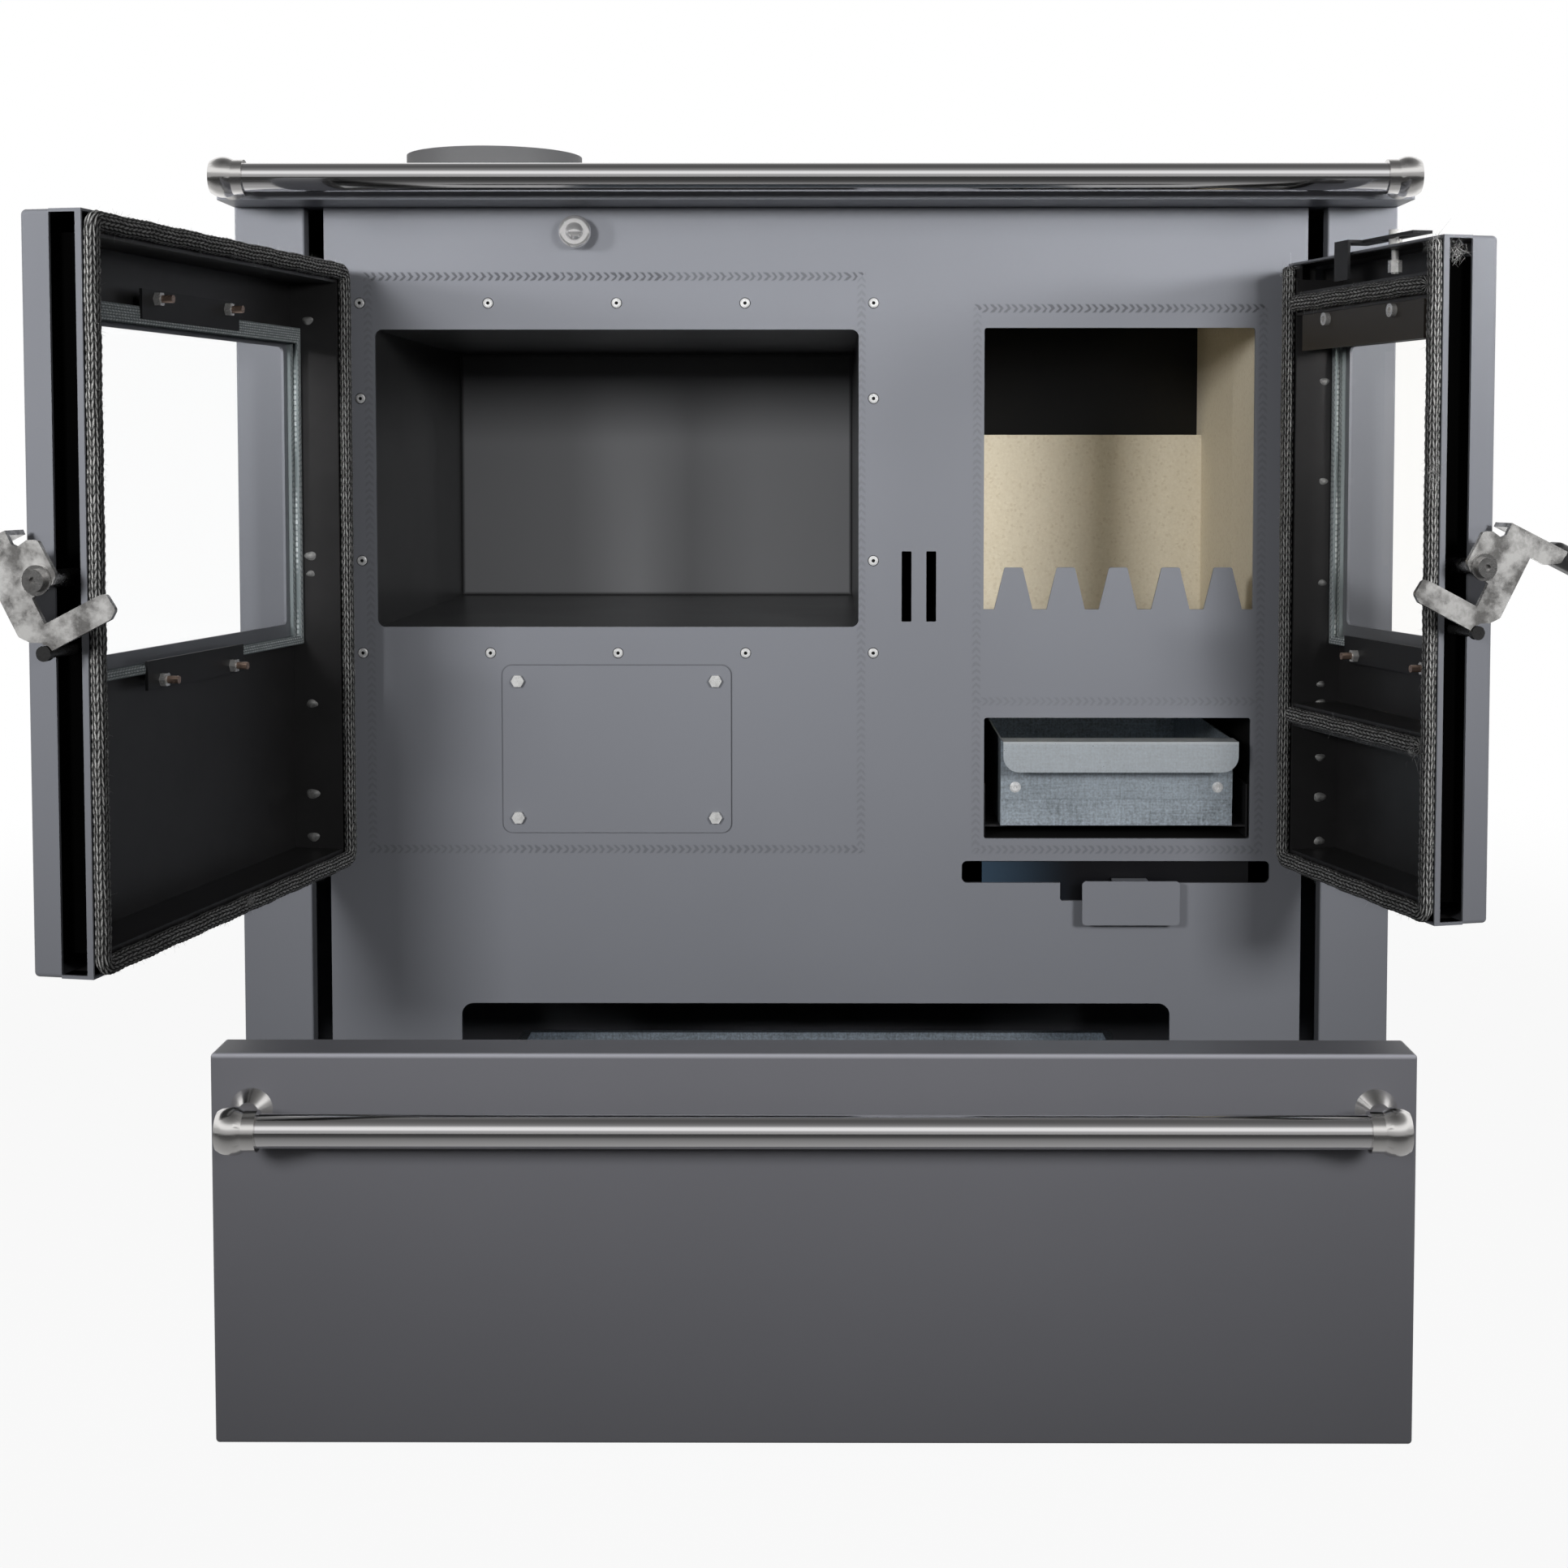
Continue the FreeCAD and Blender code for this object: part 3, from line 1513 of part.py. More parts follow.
save("door_hinge_brackets", *make_hinge_brackets(oven_door), *make_hinge_brackets(fire_door))

for name, door in (("oven", oven_door), ("fire", fire_door)):
    save(name + "_door_skin", opened(door, make_door_skin(door)))
    save(name + "_door_glass", opened(door, make_glass(door)))
    save(name + "_door_tape", opened(door, make_tape(door)))
    save(name + "_door_hinge_barrels", *[opened(door, barrel) for barrel in make_hinge_barrels(door)])
    save(name + "_latch_pins", *[opened(door, pin) for pin in make_latch_pins(door)])
    save(name + "_latch_plate", opened(door, make_latch_plate(door)))
    save(name + "_latch_grip", opened(door, make_latch_grip(door)))

save("oven_door_frame", opened(oven_door, make_door_frame(oven_door)))
save("oven_door_rope", opened(oven_door, make_oven_door_rope(oven_door)))
save("oven_door_clamps", *[opened(oven_door, make_clamp(oven_door, above)) for above in (True, False)])
oven_studs = make_studs(oven_door, True) + make_studs(oven_door, False)
save("oven_door_studs", *[opened(oven_door, stud) for stud in oven_studs])

save("fire_door_frame", opened(fire_door, make_fire_door_frame(fire_door)))
save("fire_door_rope", *[opened(fire_door, rope) for rope in make_fire_door_rope(fire_door)])
save("fire_door_clamp", opened(fire_door, make_clamp(fire_door, False)))
save("fire_door_deflector", opened(fire_door, make_deflector(fire_door)))
fire_studs = make_studs(fire_door, False) + make_deflector_screws(fire_door)
fire_studs = fire_studs + [make_slide_bolt(fire_door)] + make_slide_nuts(fire_door)
save("fire_door_studs", *[opened(fire_door, stud) for stud in fire_studs])
save("fire_door_air_slide", opened(fire_door, make_air_slide(fire_door)))
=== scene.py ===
import bpy
import math
import numpy as np
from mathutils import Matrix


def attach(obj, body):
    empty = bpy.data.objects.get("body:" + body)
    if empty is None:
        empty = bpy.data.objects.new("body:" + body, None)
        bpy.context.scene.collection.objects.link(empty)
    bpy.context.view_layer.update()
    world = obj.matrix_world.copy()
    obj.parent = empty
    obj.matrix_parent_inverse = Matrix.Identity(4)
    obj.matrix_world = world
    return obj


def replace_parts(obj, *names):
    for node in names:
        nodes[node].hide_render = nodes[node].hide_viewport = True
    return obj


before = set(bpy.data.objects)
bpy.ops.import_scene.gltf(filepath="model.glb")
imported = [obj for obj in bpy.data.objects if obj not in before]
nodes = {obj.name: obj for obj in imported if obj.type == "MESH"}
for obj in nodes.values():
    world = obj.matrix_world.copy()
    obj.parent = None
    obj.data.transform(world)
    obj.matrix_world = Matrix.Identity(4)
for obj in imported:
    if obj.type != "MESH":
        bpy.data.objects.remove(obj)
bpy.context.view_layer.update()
scene = bpy.context.scene


# shader helpers

def addNode(tree, kind, values=None, **settings):
    made = tree.nodes.new(kind)
    for key, value in settings.items():
        setattr(made, key, value)
    for key, value in (values or {}).items():
        if isinstance(value, bpy.types.NodeSocket):
            tree.links.new(value, made.inputs[key])
        else:
            made.inputs[key].default_value = value
    return made


def calc(tree, operation, *values):
    return addNode(tree, "ShaderNodeMath", dict(enumerate(values)), operation=operation).outputs[0]


# shader maths under plain names
def maths(operation):
    def result(tree, *values):
        return calc(tree, operation, *values)
    return result


times = maths("MULTIPLY")
minus = maths("SUBTRACT")
timesPlus = maths("MULTIPLY_ADD")
larger = maths("MAXIMUM")
smaller = maths("MINIMUM")
above = maths("GREATER_THAN")
below = maths("LESS_THAN")
unsigned = maths("ABSOLUTE")


# distance inside a range, from its nearer end
def insideEnds(tree, value, low, high):
    return smaller(tree, minus(tree, value, low), minus(tree, high, value))


def remap(tree, value, fromLow, fromHigh, toLow, toHigh, style="LINEAR"):
    values = {"Value": value, "From Min": fromLow, "From Max": fromHigh, "To Min": toLow, "To Max": toHigh}
    return addNode(tree, "ShaderNodeMapRange", values, interpolation_type=style).outputs[0]


# grey levels between stops, each a place from 0 to 1 and its level
def ramp(tree, factor, stops):
    made = addNode(tree, "ShaderNodeValToRGB", {"Fac": factor})
    line = made.color_ramp
    while len(line.elements) < len(stops):
        line.elements.new(0.5)
    for element, (place, shade) in zip(line.elements, stops):
        element.position = place
        element.color = (shade, shade, shade, 1)
    return made.outputs["Color"]


def blendColour(tree, factor, first, second):
    mix = addNode(tree, "ShaderNodeMix", data_type="RGBA")
    for index, value in ((0, factor), (6, first), (7, second)):
        if isinstance(value, bpy.types.NodeSocket):
            tree.links.new(value, mix.inputs[index])
        elif isinstance(value, (int, float)):
            mix.inputs[index].default_value = value
        else:
            mix.inputs[index].default_value = (*value, 1)
    return mix.outputs[2]


def blendValue(tree, factor, first, second):
    return addNode(tree, "ShaderNodeMix", {0: factor, 2: first, 3: second}).outputs[0]


def scaled(values, share):
    return tuple(value * share for value in values)


def objectCoords(tree):
    return addNode(tree, "ShaderNodeTexCoord").outputs["Object"]


def splitCoords(tree, vector):
    parts = addNode(tree, "ShaderNodeSeparateXYZ", {0: vector}).outputs
    return parts[0], parts[1], parts[2]


def objectPlace(tree):
    return splitCoords(tree, objectCoords(tree))


def stretched(tree, coords, scale):
    return addNode(tree, "ShaderNodeMapping", {"Vector": coords, "Scale": scale}).outputs[0]


# most of a noise's values lie in this range
midNoise = (0.3, 0.7)


def noise(tree, coords, scale, detail=3.0, rough=0.5):
    values = {"Vector": coords, "Scale": scale, "Detail": detail, "Roughness": rough}
    return addNode(tree, "ShaderNodeTexNoise", values).outputs["Fac"]


def attribute(tree, name):
    return addNode(tree, "ShaderNodeAttribute", attribute_name=name).outputs["Fac"]


def feed(shader, name, value):
    shader.id_data.links.new(value, shader.inputs[name])


def bump(tree, shader, height, strength, distance):
    made = addNode(tree, "ShaderNodeBump", {"Height": height, "Strength": strength, "Distance": distance})
    feed(shader, "Normal", made.outputs[0])


def newMaterial(name, colour, metallic, rough, specular=0.5):
    material = bpy.data.materials.new(name)
    material.use_nodes = True
    tree = material.node_tree
    shader = tree.nodes["Principled BSDF"]
    shader.inputs["Base Color"].default_value = (*colour, 1)
    shader.inputs["Metallic"].default_value = metallic
    shader.inputs["Roughness"].default_value = rough
    shader.inputs["Specular IOR Level"].default_value = specular
    return material, tree, shader


def emptyMaterial(name):
    material = bpy.data.materials.new(name)
    material.use_nodes = True
    material.node_tree.nodes.clear()
    return material, material.node_tree


# mesh helpers

# quads between neighbouring points of a rows by columns sheet
def gridFaces(rows, columns, closeColumns=False):
    i = np.arange(rows - 1)[:, None]
    j = np.arange(columns if closeColumns else columns - 1)[None, :]
    nextJ = (j + 1) % columns
    corners = (i * columns + j, (i + 1) * columns + j, (i + 1) * columns + nextJ, i * columns + nextJ)
    return np.stack(corners, axis=-1).reshape(-1, 4)


# the same sheet repeated, each copy with its own points
def manyFaces(count, rows, columns, closeColumns=False):
    one = gridFaces(rows, columns, closeColumns)
    return (np.arange(count)[:, None, None] * rows * columns + one[None]).reshape(-1, 4)


def meshPiece(name, points, faces, material, smooth=True):
    mesh = bpy.data.meshes.new(name)
    mesh.from_pydata(points.reshape(-1, 3), [], faces)
    mesh.polygons.foreach_set("use_smooth", np.full(len(mesh.polygons), smooth))
    mesh.materials.append(material)
    mesh.update()
    piece = bpy.data.objects.new(name, mesh)
    scene.collection.objects.link(piece)
    return piece


def giveValue(piece, name, values):
    layer = piece.data.attributes.new(name, "FLOAT", "POINT")
    layer.data.foreach_set("value", np.ascontiguousarray(values, dtype=np.float32).ravel())


# camera and studio

cameraSetup = {
    "place": (0.007, -1.9549, 0.635),
    "pitchDown": 3.05,
    "turnLeft": 0.2,
    "lens": 52.124,
    "sensor": 36.0,
    "shift": (-0.02108, -0.12955),
    "farthest": 100.0,
}
floorSetup = {
    "size": 40.0,
    "level": -0.0005,
    "white": 0.88,
    "bounce": 0.22,
    "nearGlow": 0.93,
    "nearReach": 0.9,
    "farReach": 2.6,
    "mirrorReach": 2.0,
}
worldSetup = {"ambient": 0.08, "lowWay": (0.2, 0.5), "backWay": (0.6, 0.9)}
wideBox = {"size": (0.36, 0.34), "spread": 46}
kickBox = {"size": (0.4, 0.3), "spread": 20}
lamps = {
    "leftSoftbox": {"place": (-0.98, -2.42, 1.0), "aim": (-0.27, -0.265, 0.66), "power": 3.2, **wideBox},
    "rightSoftbox": {"place": (1.03, -2.42, 1.0), "aim": (0.30, -0.265, 0.66), "power": 3.2, **wideBox},
    "leftKicker": {"place": (-1.6, -1.2, 1.0), "aim": (-0.43, -0.28, 0.86), "power": 0.52, **kickBox},
    "rightKicker": {"place": (1.6, -1.2, 1.0), "aim": (0.43, -0.28, 0.86), "power": 0.74, **kickBox},
}


def addCamera(setup):
    lens = bpy.data.cameras.new("stoveCamera")
    lens.sensor_width = setup["sensor"]
    lens.lens = setup["lens"]
    lens.shift_x, lens.shift_y = setup["shift"]
    lens.clip_end = setup["farthest"]
    camera = bpy.data.objects.new("stoveCamera", lens)
    camera.location = setup["place"]
    camera.rotation_euler = (math.radians(90 - setup["pitchDown"]), 0, math.radians(setup["turnLeft"]))
    scene.collection.objects.link(camera)
    scene.camera = camera


# camera and glass see white, with a share of matte floor near the stove that keeps its shadow;
# metal sees white behind the stove and a dim floor before it
floorLevels = [(0.0, 0.05), (0.20, 0.09), (0.36, 0.40), (0.42, 0.42), (0.6, 1.0)]


def addFloor(setup):
    side = np.linspace(-setup["size"] / 2, setup["size"] / 2, 9)
    x, y = np.meshgrid(side, side, indexing="ij")
    points = np.stack((x, y, np.full_like(x, setup["level"])), axis=-1)
    material, tree = emptyMaterial("paleFloor")
    path = addNode(tree, "ShaderNodeLightPath").outputs
    seen = larger(tree, path["Is Camera Ray"], path["Is Transmission Ray"])
    placeX, placeY = objectPlace(tree)[:2]
    squares = timesPlus(tree, placeX, placeX, times(tree, placeY, placeY))
    away = calc(tree, "SQRT", squares)
    far = remap(tree, away, setup["nearReach"], setup["farReach"], setup["nearGlow"], 1.0, "SMOOTHSTEP")
    share = larger(tree, times(tree, seen, far), path["Is Glossy Ray"])
    reach = setup["mirrorReach"]
    mirrored = ramp(tree, remap(tree, placeY, -reach, reach, 0.0, 1.0), floorLevels)
    level = blendValue(tree, path["Is Glossy Ray"], 1.0, mirrored)
    white = scaled((1, 1, 1), setup["white"])
    shade = blendColour(tree, path["Is Diffuse Ray"], white, scaled((1, 1, 1), setup["bounce"]))
    matte = addNode(tree, "ShaderNodeBsdfDiffuse", {"Color": shade})
    glow = addNode(tree, "ShaderNodeEmission", {"Color": (1, 1, 1, 1), "Strength": level})
    mixed = addNode(tree, "ShaderNodeMixShader", {0: share, 1: matte.outputs[0], 2: glow.outputs[0]})
    addNode(tree, "ShaderNodeOutputMaterial", {"Surface": mixed.outputs[0]})
    meshPiece("studioFloor", points, gridFaces(9, 9), material)


# white for the camera and through glass; metal sees white low behind the stove,
# and elsewhere a dim room with one bright band above eye level
roomLevels = [
    (0.0, 0.02), (0.155, 0.08), (0.345, 0.40), (0.57, 0.42), (0.64, 0.50),
    (0.70, 1.0), (0.81, 1.0), (0.89, 0.30), (1.0, 0.10),
]


def addWorld(setup):
    world = bpy.data.worlds.new("studioWorld")
    scene.world = world
    world.use_nodes = True
    tree = world.node_tree
    tree.nodes.clear()
    path = addNode(tree, "ShaderNodeLightPath").outputs
    seen = larger(tree, path["Is Camera Ray"], path["Is Transmission Ray"])
    wayY, wayZ = splitCoords(tree, addNode(tree, "ShaderNodeTexCoord").outputs["Generated"])[1:]
    room = ramp(tree, remap(tree, wayZ, -1.0, 1.0, 0.0, 1.0), roomLevels)
    low = remap(tree, wayZ, *setup["lowWay"], 1.0, 0.0, "SMOOTHSTEP")
    behind = times(tree, low, remap(tree, wayY, *setup["backWay"], 0.0, 1.0, "SMOOTHSTEP"))
    mirrored = blendValue(tree, behind, room, 1.0)
    level = blendValue(tree, path["Is Glossy Ray"], setup["ambient"], mirrored)
    strength = blendValue(tree, seen, level, 1.0)
    glow = addNode(tree, "ShaderNodeBackground", {"Color": (1, 1, 1, 1), "Strength": strength})
    addNode(tree, "ShaderNodeOutputWorld", {"Surface": glow.outputs[0]})


# a softbox lights the stove with a narrow beam; metal sees the room's bands instead of it
def addSoftbox(name, setup):
    lamp = bpy.data.lights.new(name, "AREA")
    lamp.shape = "RECTANGLE"
    lamp.size, lamp.size_y = setup["size"]
    lamp.energy = setup["power"]
    lamp.spread = math.radians(setup["spread"])
    softbox = bpy.data.objects.new(name, lamp)
    away = np.subtract(setup["place"], setup["aim"])
    tilt = math.atan2(math.hypot(away[0], away[1]), away[2])
    softbox.location = setup["place"]
    softbox.visible_glossy = False
    softbox.rotation_euler = (tilt, 0, math.atan2(away[0], -away[1]))
    scene.collection.objects.link(softbox)


addCamera(cameraSetup)
addFloor(floorSetup)
addWorld(worldSetup)
for lampName, lampSetup in lamps.items():
    addSoftbox(lampName, lampSetup)
scene.view_settings.view_transform = "Standard"
print("camera and studio ready")


# doors: u runs from the hinge axis to the free edge, d back from the panel face, all in metres
hinge = {"x": 0.350, "y": -0.283, "panelY": -0.265}
doorBox = {"bottom": 0.337, "top": 0.777, "frameEdge": 0.012, "skinEdge": -0.008}
window = {"margin": 0.026, "bottom": 0.516, "top": 0.716, "sideLap": 0.010, "endLap": 0.013}
ovenDoor = {"side": -1, "angle": 100.6, "free": 0.390, "body": "oven_door"}
fireDoor = {"side": 1, "angle": 103.8, "free": 0.236, "body": "fire_door"}
# how near a face a point counts as lying on it
faceSlack = {"panel": 0.0005, "rivetEye": 0.0004, "slider": 0.001, "ovenBack": 0.001}


# a point of the shut door, turned open about the hinge axis
def doorPoints(door, u, d, z):
    side = door["side"]
    turn = math.radians(side * door["angle"])
    x = -side * u
    y = hinge["panelY"] + d - hinge["y"]
    openX = side * hinge["x"] + math.cos(turn) * x - math.sin(turn) * y
    openY = hinge["y"] + math.sin(turn) * x + math.cos(turn) * y
    return np.stack(np.broadcast_arrays(openX, openY, z), axis=-1)


# the same u, d and z inside a shader, from the open door's object coordinates
def doorCoords(tree, door):
    side = door["side"]
    values = {
        "Vector": objectCoords(tree),
        "Location": (side * hinge["x"], hinge["y"], 0),
        "Rotation": (0, 0, math.radians(side * door["angle"])),
    }
    shut = addNode(tree, "ShaderNodeMapping", values, vector_type="TEXTURE").outputs[0]
    shutX, shutY, shutZ = splitCoords(tree, shut)
    u = times(tree, shutX, -side)
    d = calc(tree, "ADD", shutY, hinge["y"] - hinge["panelY"])
    return u, d, shutZ


# finishes

paintLook = {
    "detail": 5.0, "cloudScale": 5.0, "glossScale": 13.0, "glossSpread": (0.96, 1.04),
    "peelScale": 900.0, "peelDepth": 0.0004,
}


# sprayed paint: faint clouds in tone and gloss, fine orange peel
def paintFinish(name, colour, rough, specular, clouds=0.06, peel=0.06):
    look = paintLook
    material, tree, shader = newMaterial(name, colour, 0.0, rough, specular)
    coords = objectCoords(tree)
    cloud = noise(tree, coords, look["cloudScale"], look["detail"])
    shade = blendColour(tree, cloud, scaled(colour, 1 - clouds), scaled(colour, 1 + clouds))
    patch = noise(tree, coords, look["glossScale"], look["detail"])
    gloss = remap(tree, patch, *midNoise, *scaled(look["glossSpread"], rough))
    feed(shader, "Base Color", shade)
    feed(shader, "Roughness", gloss)
    bump(tree, shader, noise(tree, coords, look["peelScale"], detail=2.0), peel, look["peelDepth"])
    return material, tree, shader, shade


anthraciteColour = (0.172, 0.178, 0.197)
satin = {"rough": 0.40, "specular": 0.45}
plainPaints = {
    "matteBlack": {"colour": (0.016, 0.016, 0.017), "rough": 0.48, "specular": 0.4, "clouds": 0.15},
    "sootBlack": {"colour": (0.010, 0.010, 0.010), "rough": 0.65, "specular": 0.25, "clouds": 0.2},
    "collarGrey": {"colour": (0.10, 0.10, 0.103), "rough": 0.5, "specular": 0.35, "clouds": 0.1},
    "bronzedSteel": {"colour": (0.036, 0.031, 0.026), "rough": 0.42, "specular": 0.45, "clouds": 0.2},
    "firedSteel": {
        "colour": (0.004, 0.004, 0.004), "rough": 0.30, "specular": 0.35, "clouds": 0.2, "peel": 0.02,
    },
    "gripBlack": {
        "colour": (0.02, 0.02, 0.021), "rough": 0.36, "specular": 0.5, "clouds": 0.05, "peel": 0.1,
    },
}
anthracite = paintFinish("anthracitePaint", anthraciteColour, **satin)[0]
paints = {name: paintFinish(name, **paint)[0] for name, paint in plainPaints.items()}


# the rope seals' braid pressed into the panel: chevrons along a rectangle's edge, fainter on its uprights
imprints = {
    "oven": {"centre": (-0.149, 0.557), "half": (0.183, 0.2136), "top": 1.0, "bottom": 0.5},
    "fire": {"centre": (0.2259, 0.5451), "half": (0.1059, 0.2019), "top": 0.9, "bottom": 0.4},
    "fireLower": {"centre": (0.2259, 0.399), "half": (0.1059, 0.0558), "top": 0.25, "bottom": 0.4},
}
imprintLook = {
    "halfWidth": 0.0036, "fullShare": 0.7, "pitch": 0.0054, "dash": (0.14, 0.30), "lean": 0.9,
    "uprights": 0.25, "waver": 0.004, "waverScale": 170.0, "strength": 0.78, "tone": 0.2,
    "patchScale": 14.0, "patchNoise": (0.38, 0.58), "patchLevels": (0.65, 1.0),
    "relief": -0.5, "depth": 0.0006,
}
coverShadow = {
    "centre": (-0.1485, 0.4190), "half": (0.0853, 0.0628), "corner": 0.007, "width": 0.0012,
    "dark": 0.6,
}


# how far a value lies past half a width from a centre
def overEdge(tree, value, centre, half):
    return minus(tree, unsigned(tree, minus(tree, value, centre)), half)


def imprintMask(tree, coords, x, z):
    look = imprintLook
    whole = 0.0
    dashRange = scaled(look["dash"], look["pitch"])
    waver = times(tree, noise(tree, coords, look["waverScale"], detail=2.0), look["waver"])
    for line in imprints.values():
        sideways = overEdge(tree, x, line["centre"][0], line["half"][0])
        upright = overEdge(tree, z, line["centre"][1], line["half"][1])
        gap = unsigned(tree, larger(tree, sideways, upright))
        near = remap(tree, gap, look["halfWidth"] * look["fullShare"], look["halfWidth"], 1.0, 0.0)
        onSide = above(tree, sideways, upright)
        along = blendValue(tree, onSide, x, z)
        slant = calc(tree, "ADD", timesPlus(tree, gap, look["lean"], along), waver)
        wave = calc(tree, "PINGPONG", slant, look["pitch"] / 2)
        dash = remap(tree, wave, *dashRange, 1.0, 0.0)
        upper = above(tree, z, line["centre"][1])
        level = remap(tree, upper, 0.0, 1.0, line["bottom"], line["top"])
        faint = remap(tree, onSide, 0.0, 1.0, level, look["uprights"])
        pressed = times(tree, times(tree, near, dash), faint)
        whole = larger(tree, whole, pressed)
    return whole


# distance outside a rectangle with round corners
def outsideRound(tree, x, z, box):
    corner = box["corner"]
    sideways = overEdge(tree, x, box["centre"][0], box["half"][0] - corner)
    upright = overEdge(tree, z, box["centre"][1], box["half"][1] - corner)
    sideways = larger(tree, sideways, 0.0)
    upright = larger(tree, upright, 0.0)
    squares = timesPlus(tree, sideways, sideways, times(tree, upright, upright))
    return minus(tree, calc(tree, "SQRT", squares), corner)


# panel paint with the imprints and a painted shadow line round the cleanout cover
def panelFinish():
    look = imprintLook
    material, tree, shader, shade = paintFinish("panelPaint", anthraciteColour, **satin)
    coords = objectCoords(tree)
    x, y, z = splitCoords(tree, coords)
    patch = noise(tree, coords, look["patchScale"])
    patches = remap(tree, patch, *look["patchNoise"], *look["patchLevels"])
    mark = times(tree, imprintMask(tree, coords, x, z), patches)
    pressed = times(tree, mark, look["strength"])
    # painted shadow: a thin dark line on the panel all round the cleanout cover's edge
    line = remap(tree, outsideRound(tree, x, z, coverShadow), 0.0, coverShadow["width"], coverShadow["dark"], 0.0)
    front = below(tree, y, hinge["panelY"] + faceSlack["panel"])
    share = times(tree, larger(tree, pressed, line), front)
    marked = blendColour(tree, share, shade, scaled(anthraciteColour, look["tone"]))
    feed(shader, "Base Color", marked)
    bump(tree, shader, pressed, look["relief"], look["depth"])
    return material


# oven enamel: walls, floor and ceiling darker as painted shade, and a black seam where they meet the back
ovenBox = {"left": -0.327, "right": 0.032, "floor": 0.5105, "ceiling": 0.7315, "back": 0.131}
ovenPaint = {"colour": (0.150, 0.152, 0.158), "rough": 0.33, "specular": 0.45, "clouds": 0.08}
ovenSeam = {"back": (0.001, 0.0035), "wall": (0.004, 0.001), "backLevel": 0.10, "wallLevel": 0.3}
ovenShadeLevels = {"floor": 0.34, "wall": 0.20}


def ovenFinish():
    material, tree, shader, shade = paintFinish("ovenGrey", **ovenPaint)
    x, y, z = objectPlace(tree)
    fromSides = insideEnds(tree, x, ovenBox["left"], ovenBox["right"])
    fromEnds = insideEnds(tree, z, ovenBox["floor"], ovenBox["ceiling"])
    fromEdge = smaller(tree, fromSides, fromEnds)
    upright = below(tree, fromSides, fromEnds)
    onBack = above(tree, y, ovenBox["back"] - faceSlack["ovenBack"])
    seam = remap(tree, fromEdge, *ovenSeam["back"], ovenSeam["backLevel"], 1.0)
    # painted shade: floor and ceiling, and more so the side walls, darkened to these levels
    level = remap(tree, upright, 0.0, 1.0, ovenShadeLevels["floor"], ovenShadeLevels["wall"])
    seamStart, seamEnd = (ovenBox["back"] - gap for gap in ovenSeam["wall"])
    wallSeam = remap(tree, y, seamStart, seamEnd, 1.0, ovenSeam["wallLevel"])
    light = blendValue(tree, onBack, times(tree, level, wallSeam), seam)
    feed(shader, "Base Color", blendColour(tree, light, (0.0, 0.0, 0.0), shade))
    return material


# drawer paint: greyer, with a painted highlight along the upper front bend
drawerColour = (0.170, 0.171, 0.188)
drawerGlint = {"front": -0.597, "top": 0.2755, "width": 0.0030, "edgeGlint": 0.95, "bright": 3.4}


def drawerFinish():
    edge = drawerGlint
    material, tree, shader, shade = paintFinish("drawerPaint", drawerColour, **satin)
    y, z = objectPlace(tree)[1:]
    fromFront = minus(tree, y, edge["front"])
    fromTop = minus(tree, edge["top"], z)
    # painted highlight: front and top faces lightened within a few millimetres of their bend
    edgeGlint = remap(tree, larger(tree, fromFront, fromTop), 0.0, edge["width"], edge["edgeGlint"], 0.0)
    worn = blendColour(tree, edgeGlint, shade, scaled(drawerColour, edge["bright"]))
    feed(shader, "Base Color", worn)
    return material


# 1 behind the pane: inside the window's rectangle grown by the pane's laps
def paneMask(tree, door, u, z):
    u0 = doorBox["frameEdge"] + window["margin"]
    u1 = door["free"] - window["margin"]
    sideways = overEdge(tree, u, (u0 + u1) / 2, (u1 - u0) / 2 + window["sideLap"])
    middle = (window["bottom"] + window["top"]) / 2
    upright = overEdge(tree, z, middle, window["top"] - middle + window["endLap"])
    return below(tree, larger(tree, sideways, upright), 0.0)


skinLining = {"firstEdge": doorBox["skinEdge"], "rim": 0.0021, "innerDepth": -0.0450, "channel": 0.0126}
frameLining = {"firstEdge": doorBox["frameEdge"], "rim": 0.0017, "innerDepth": -1.0, "channel": 0.0126}
liningLook = {
    "sootScale": 30.0, "dark": (0.013, 0.013, 0.013), "light": (0.029, 0.028, 0.029),
    "unlit": (0.001, 0.001, 0.001), "unlitSpecular": 0.02,
}


# one sheet, paint outside and behind the pane, black within: deeper than the rim from every edge;
# the frame's channel along the free edge is unlit black
def linedFinish(name, door, firstEdge, rim, innerDepth, channel):
    look = liningLook
    material, tree, shader, shade = paintFinish(name, anthraciteColour, **satin)
    u, d, z = doorCoords(tree, door)
    sides = insideEnds(tree, u, firstEdge, door["free"])
    edge = smaller(tree, sides, insideEnds(tree, z, doorBox["bottom"], doorBox["top"]))
    within = above(tree, edge, rim)
    covered = minus(tree, 1.0, paneMask(tree, door, u, z))
    deep = times(tree, covered, above(tree, d, innerDepth))
    inside = times(tree, within, deep)
    soot = noise(tree, objectCoords(tree), look["sootScale"], detail=6.0, rough=0.7)
    black = blendColour(tree, soot, look["dark"], look["light"])
    fromFree = minus(tree, door["free"], u)
    lit = times(tree, inside, above(tree, fromFree, channel))
    unlit = minus(tree, inside, lit)
    lined = blendColour(tree, inside, shade, black)
    feed(shader, "Base Color", blendColour(tree, unlit, lined, look["unlit"]))
    specular = remap(tree, unlit, 0.0, 1.0, satin["specular"], look["unlitSpecular"])
    feed(shader, "Specular IOR Level", specular)
    return material


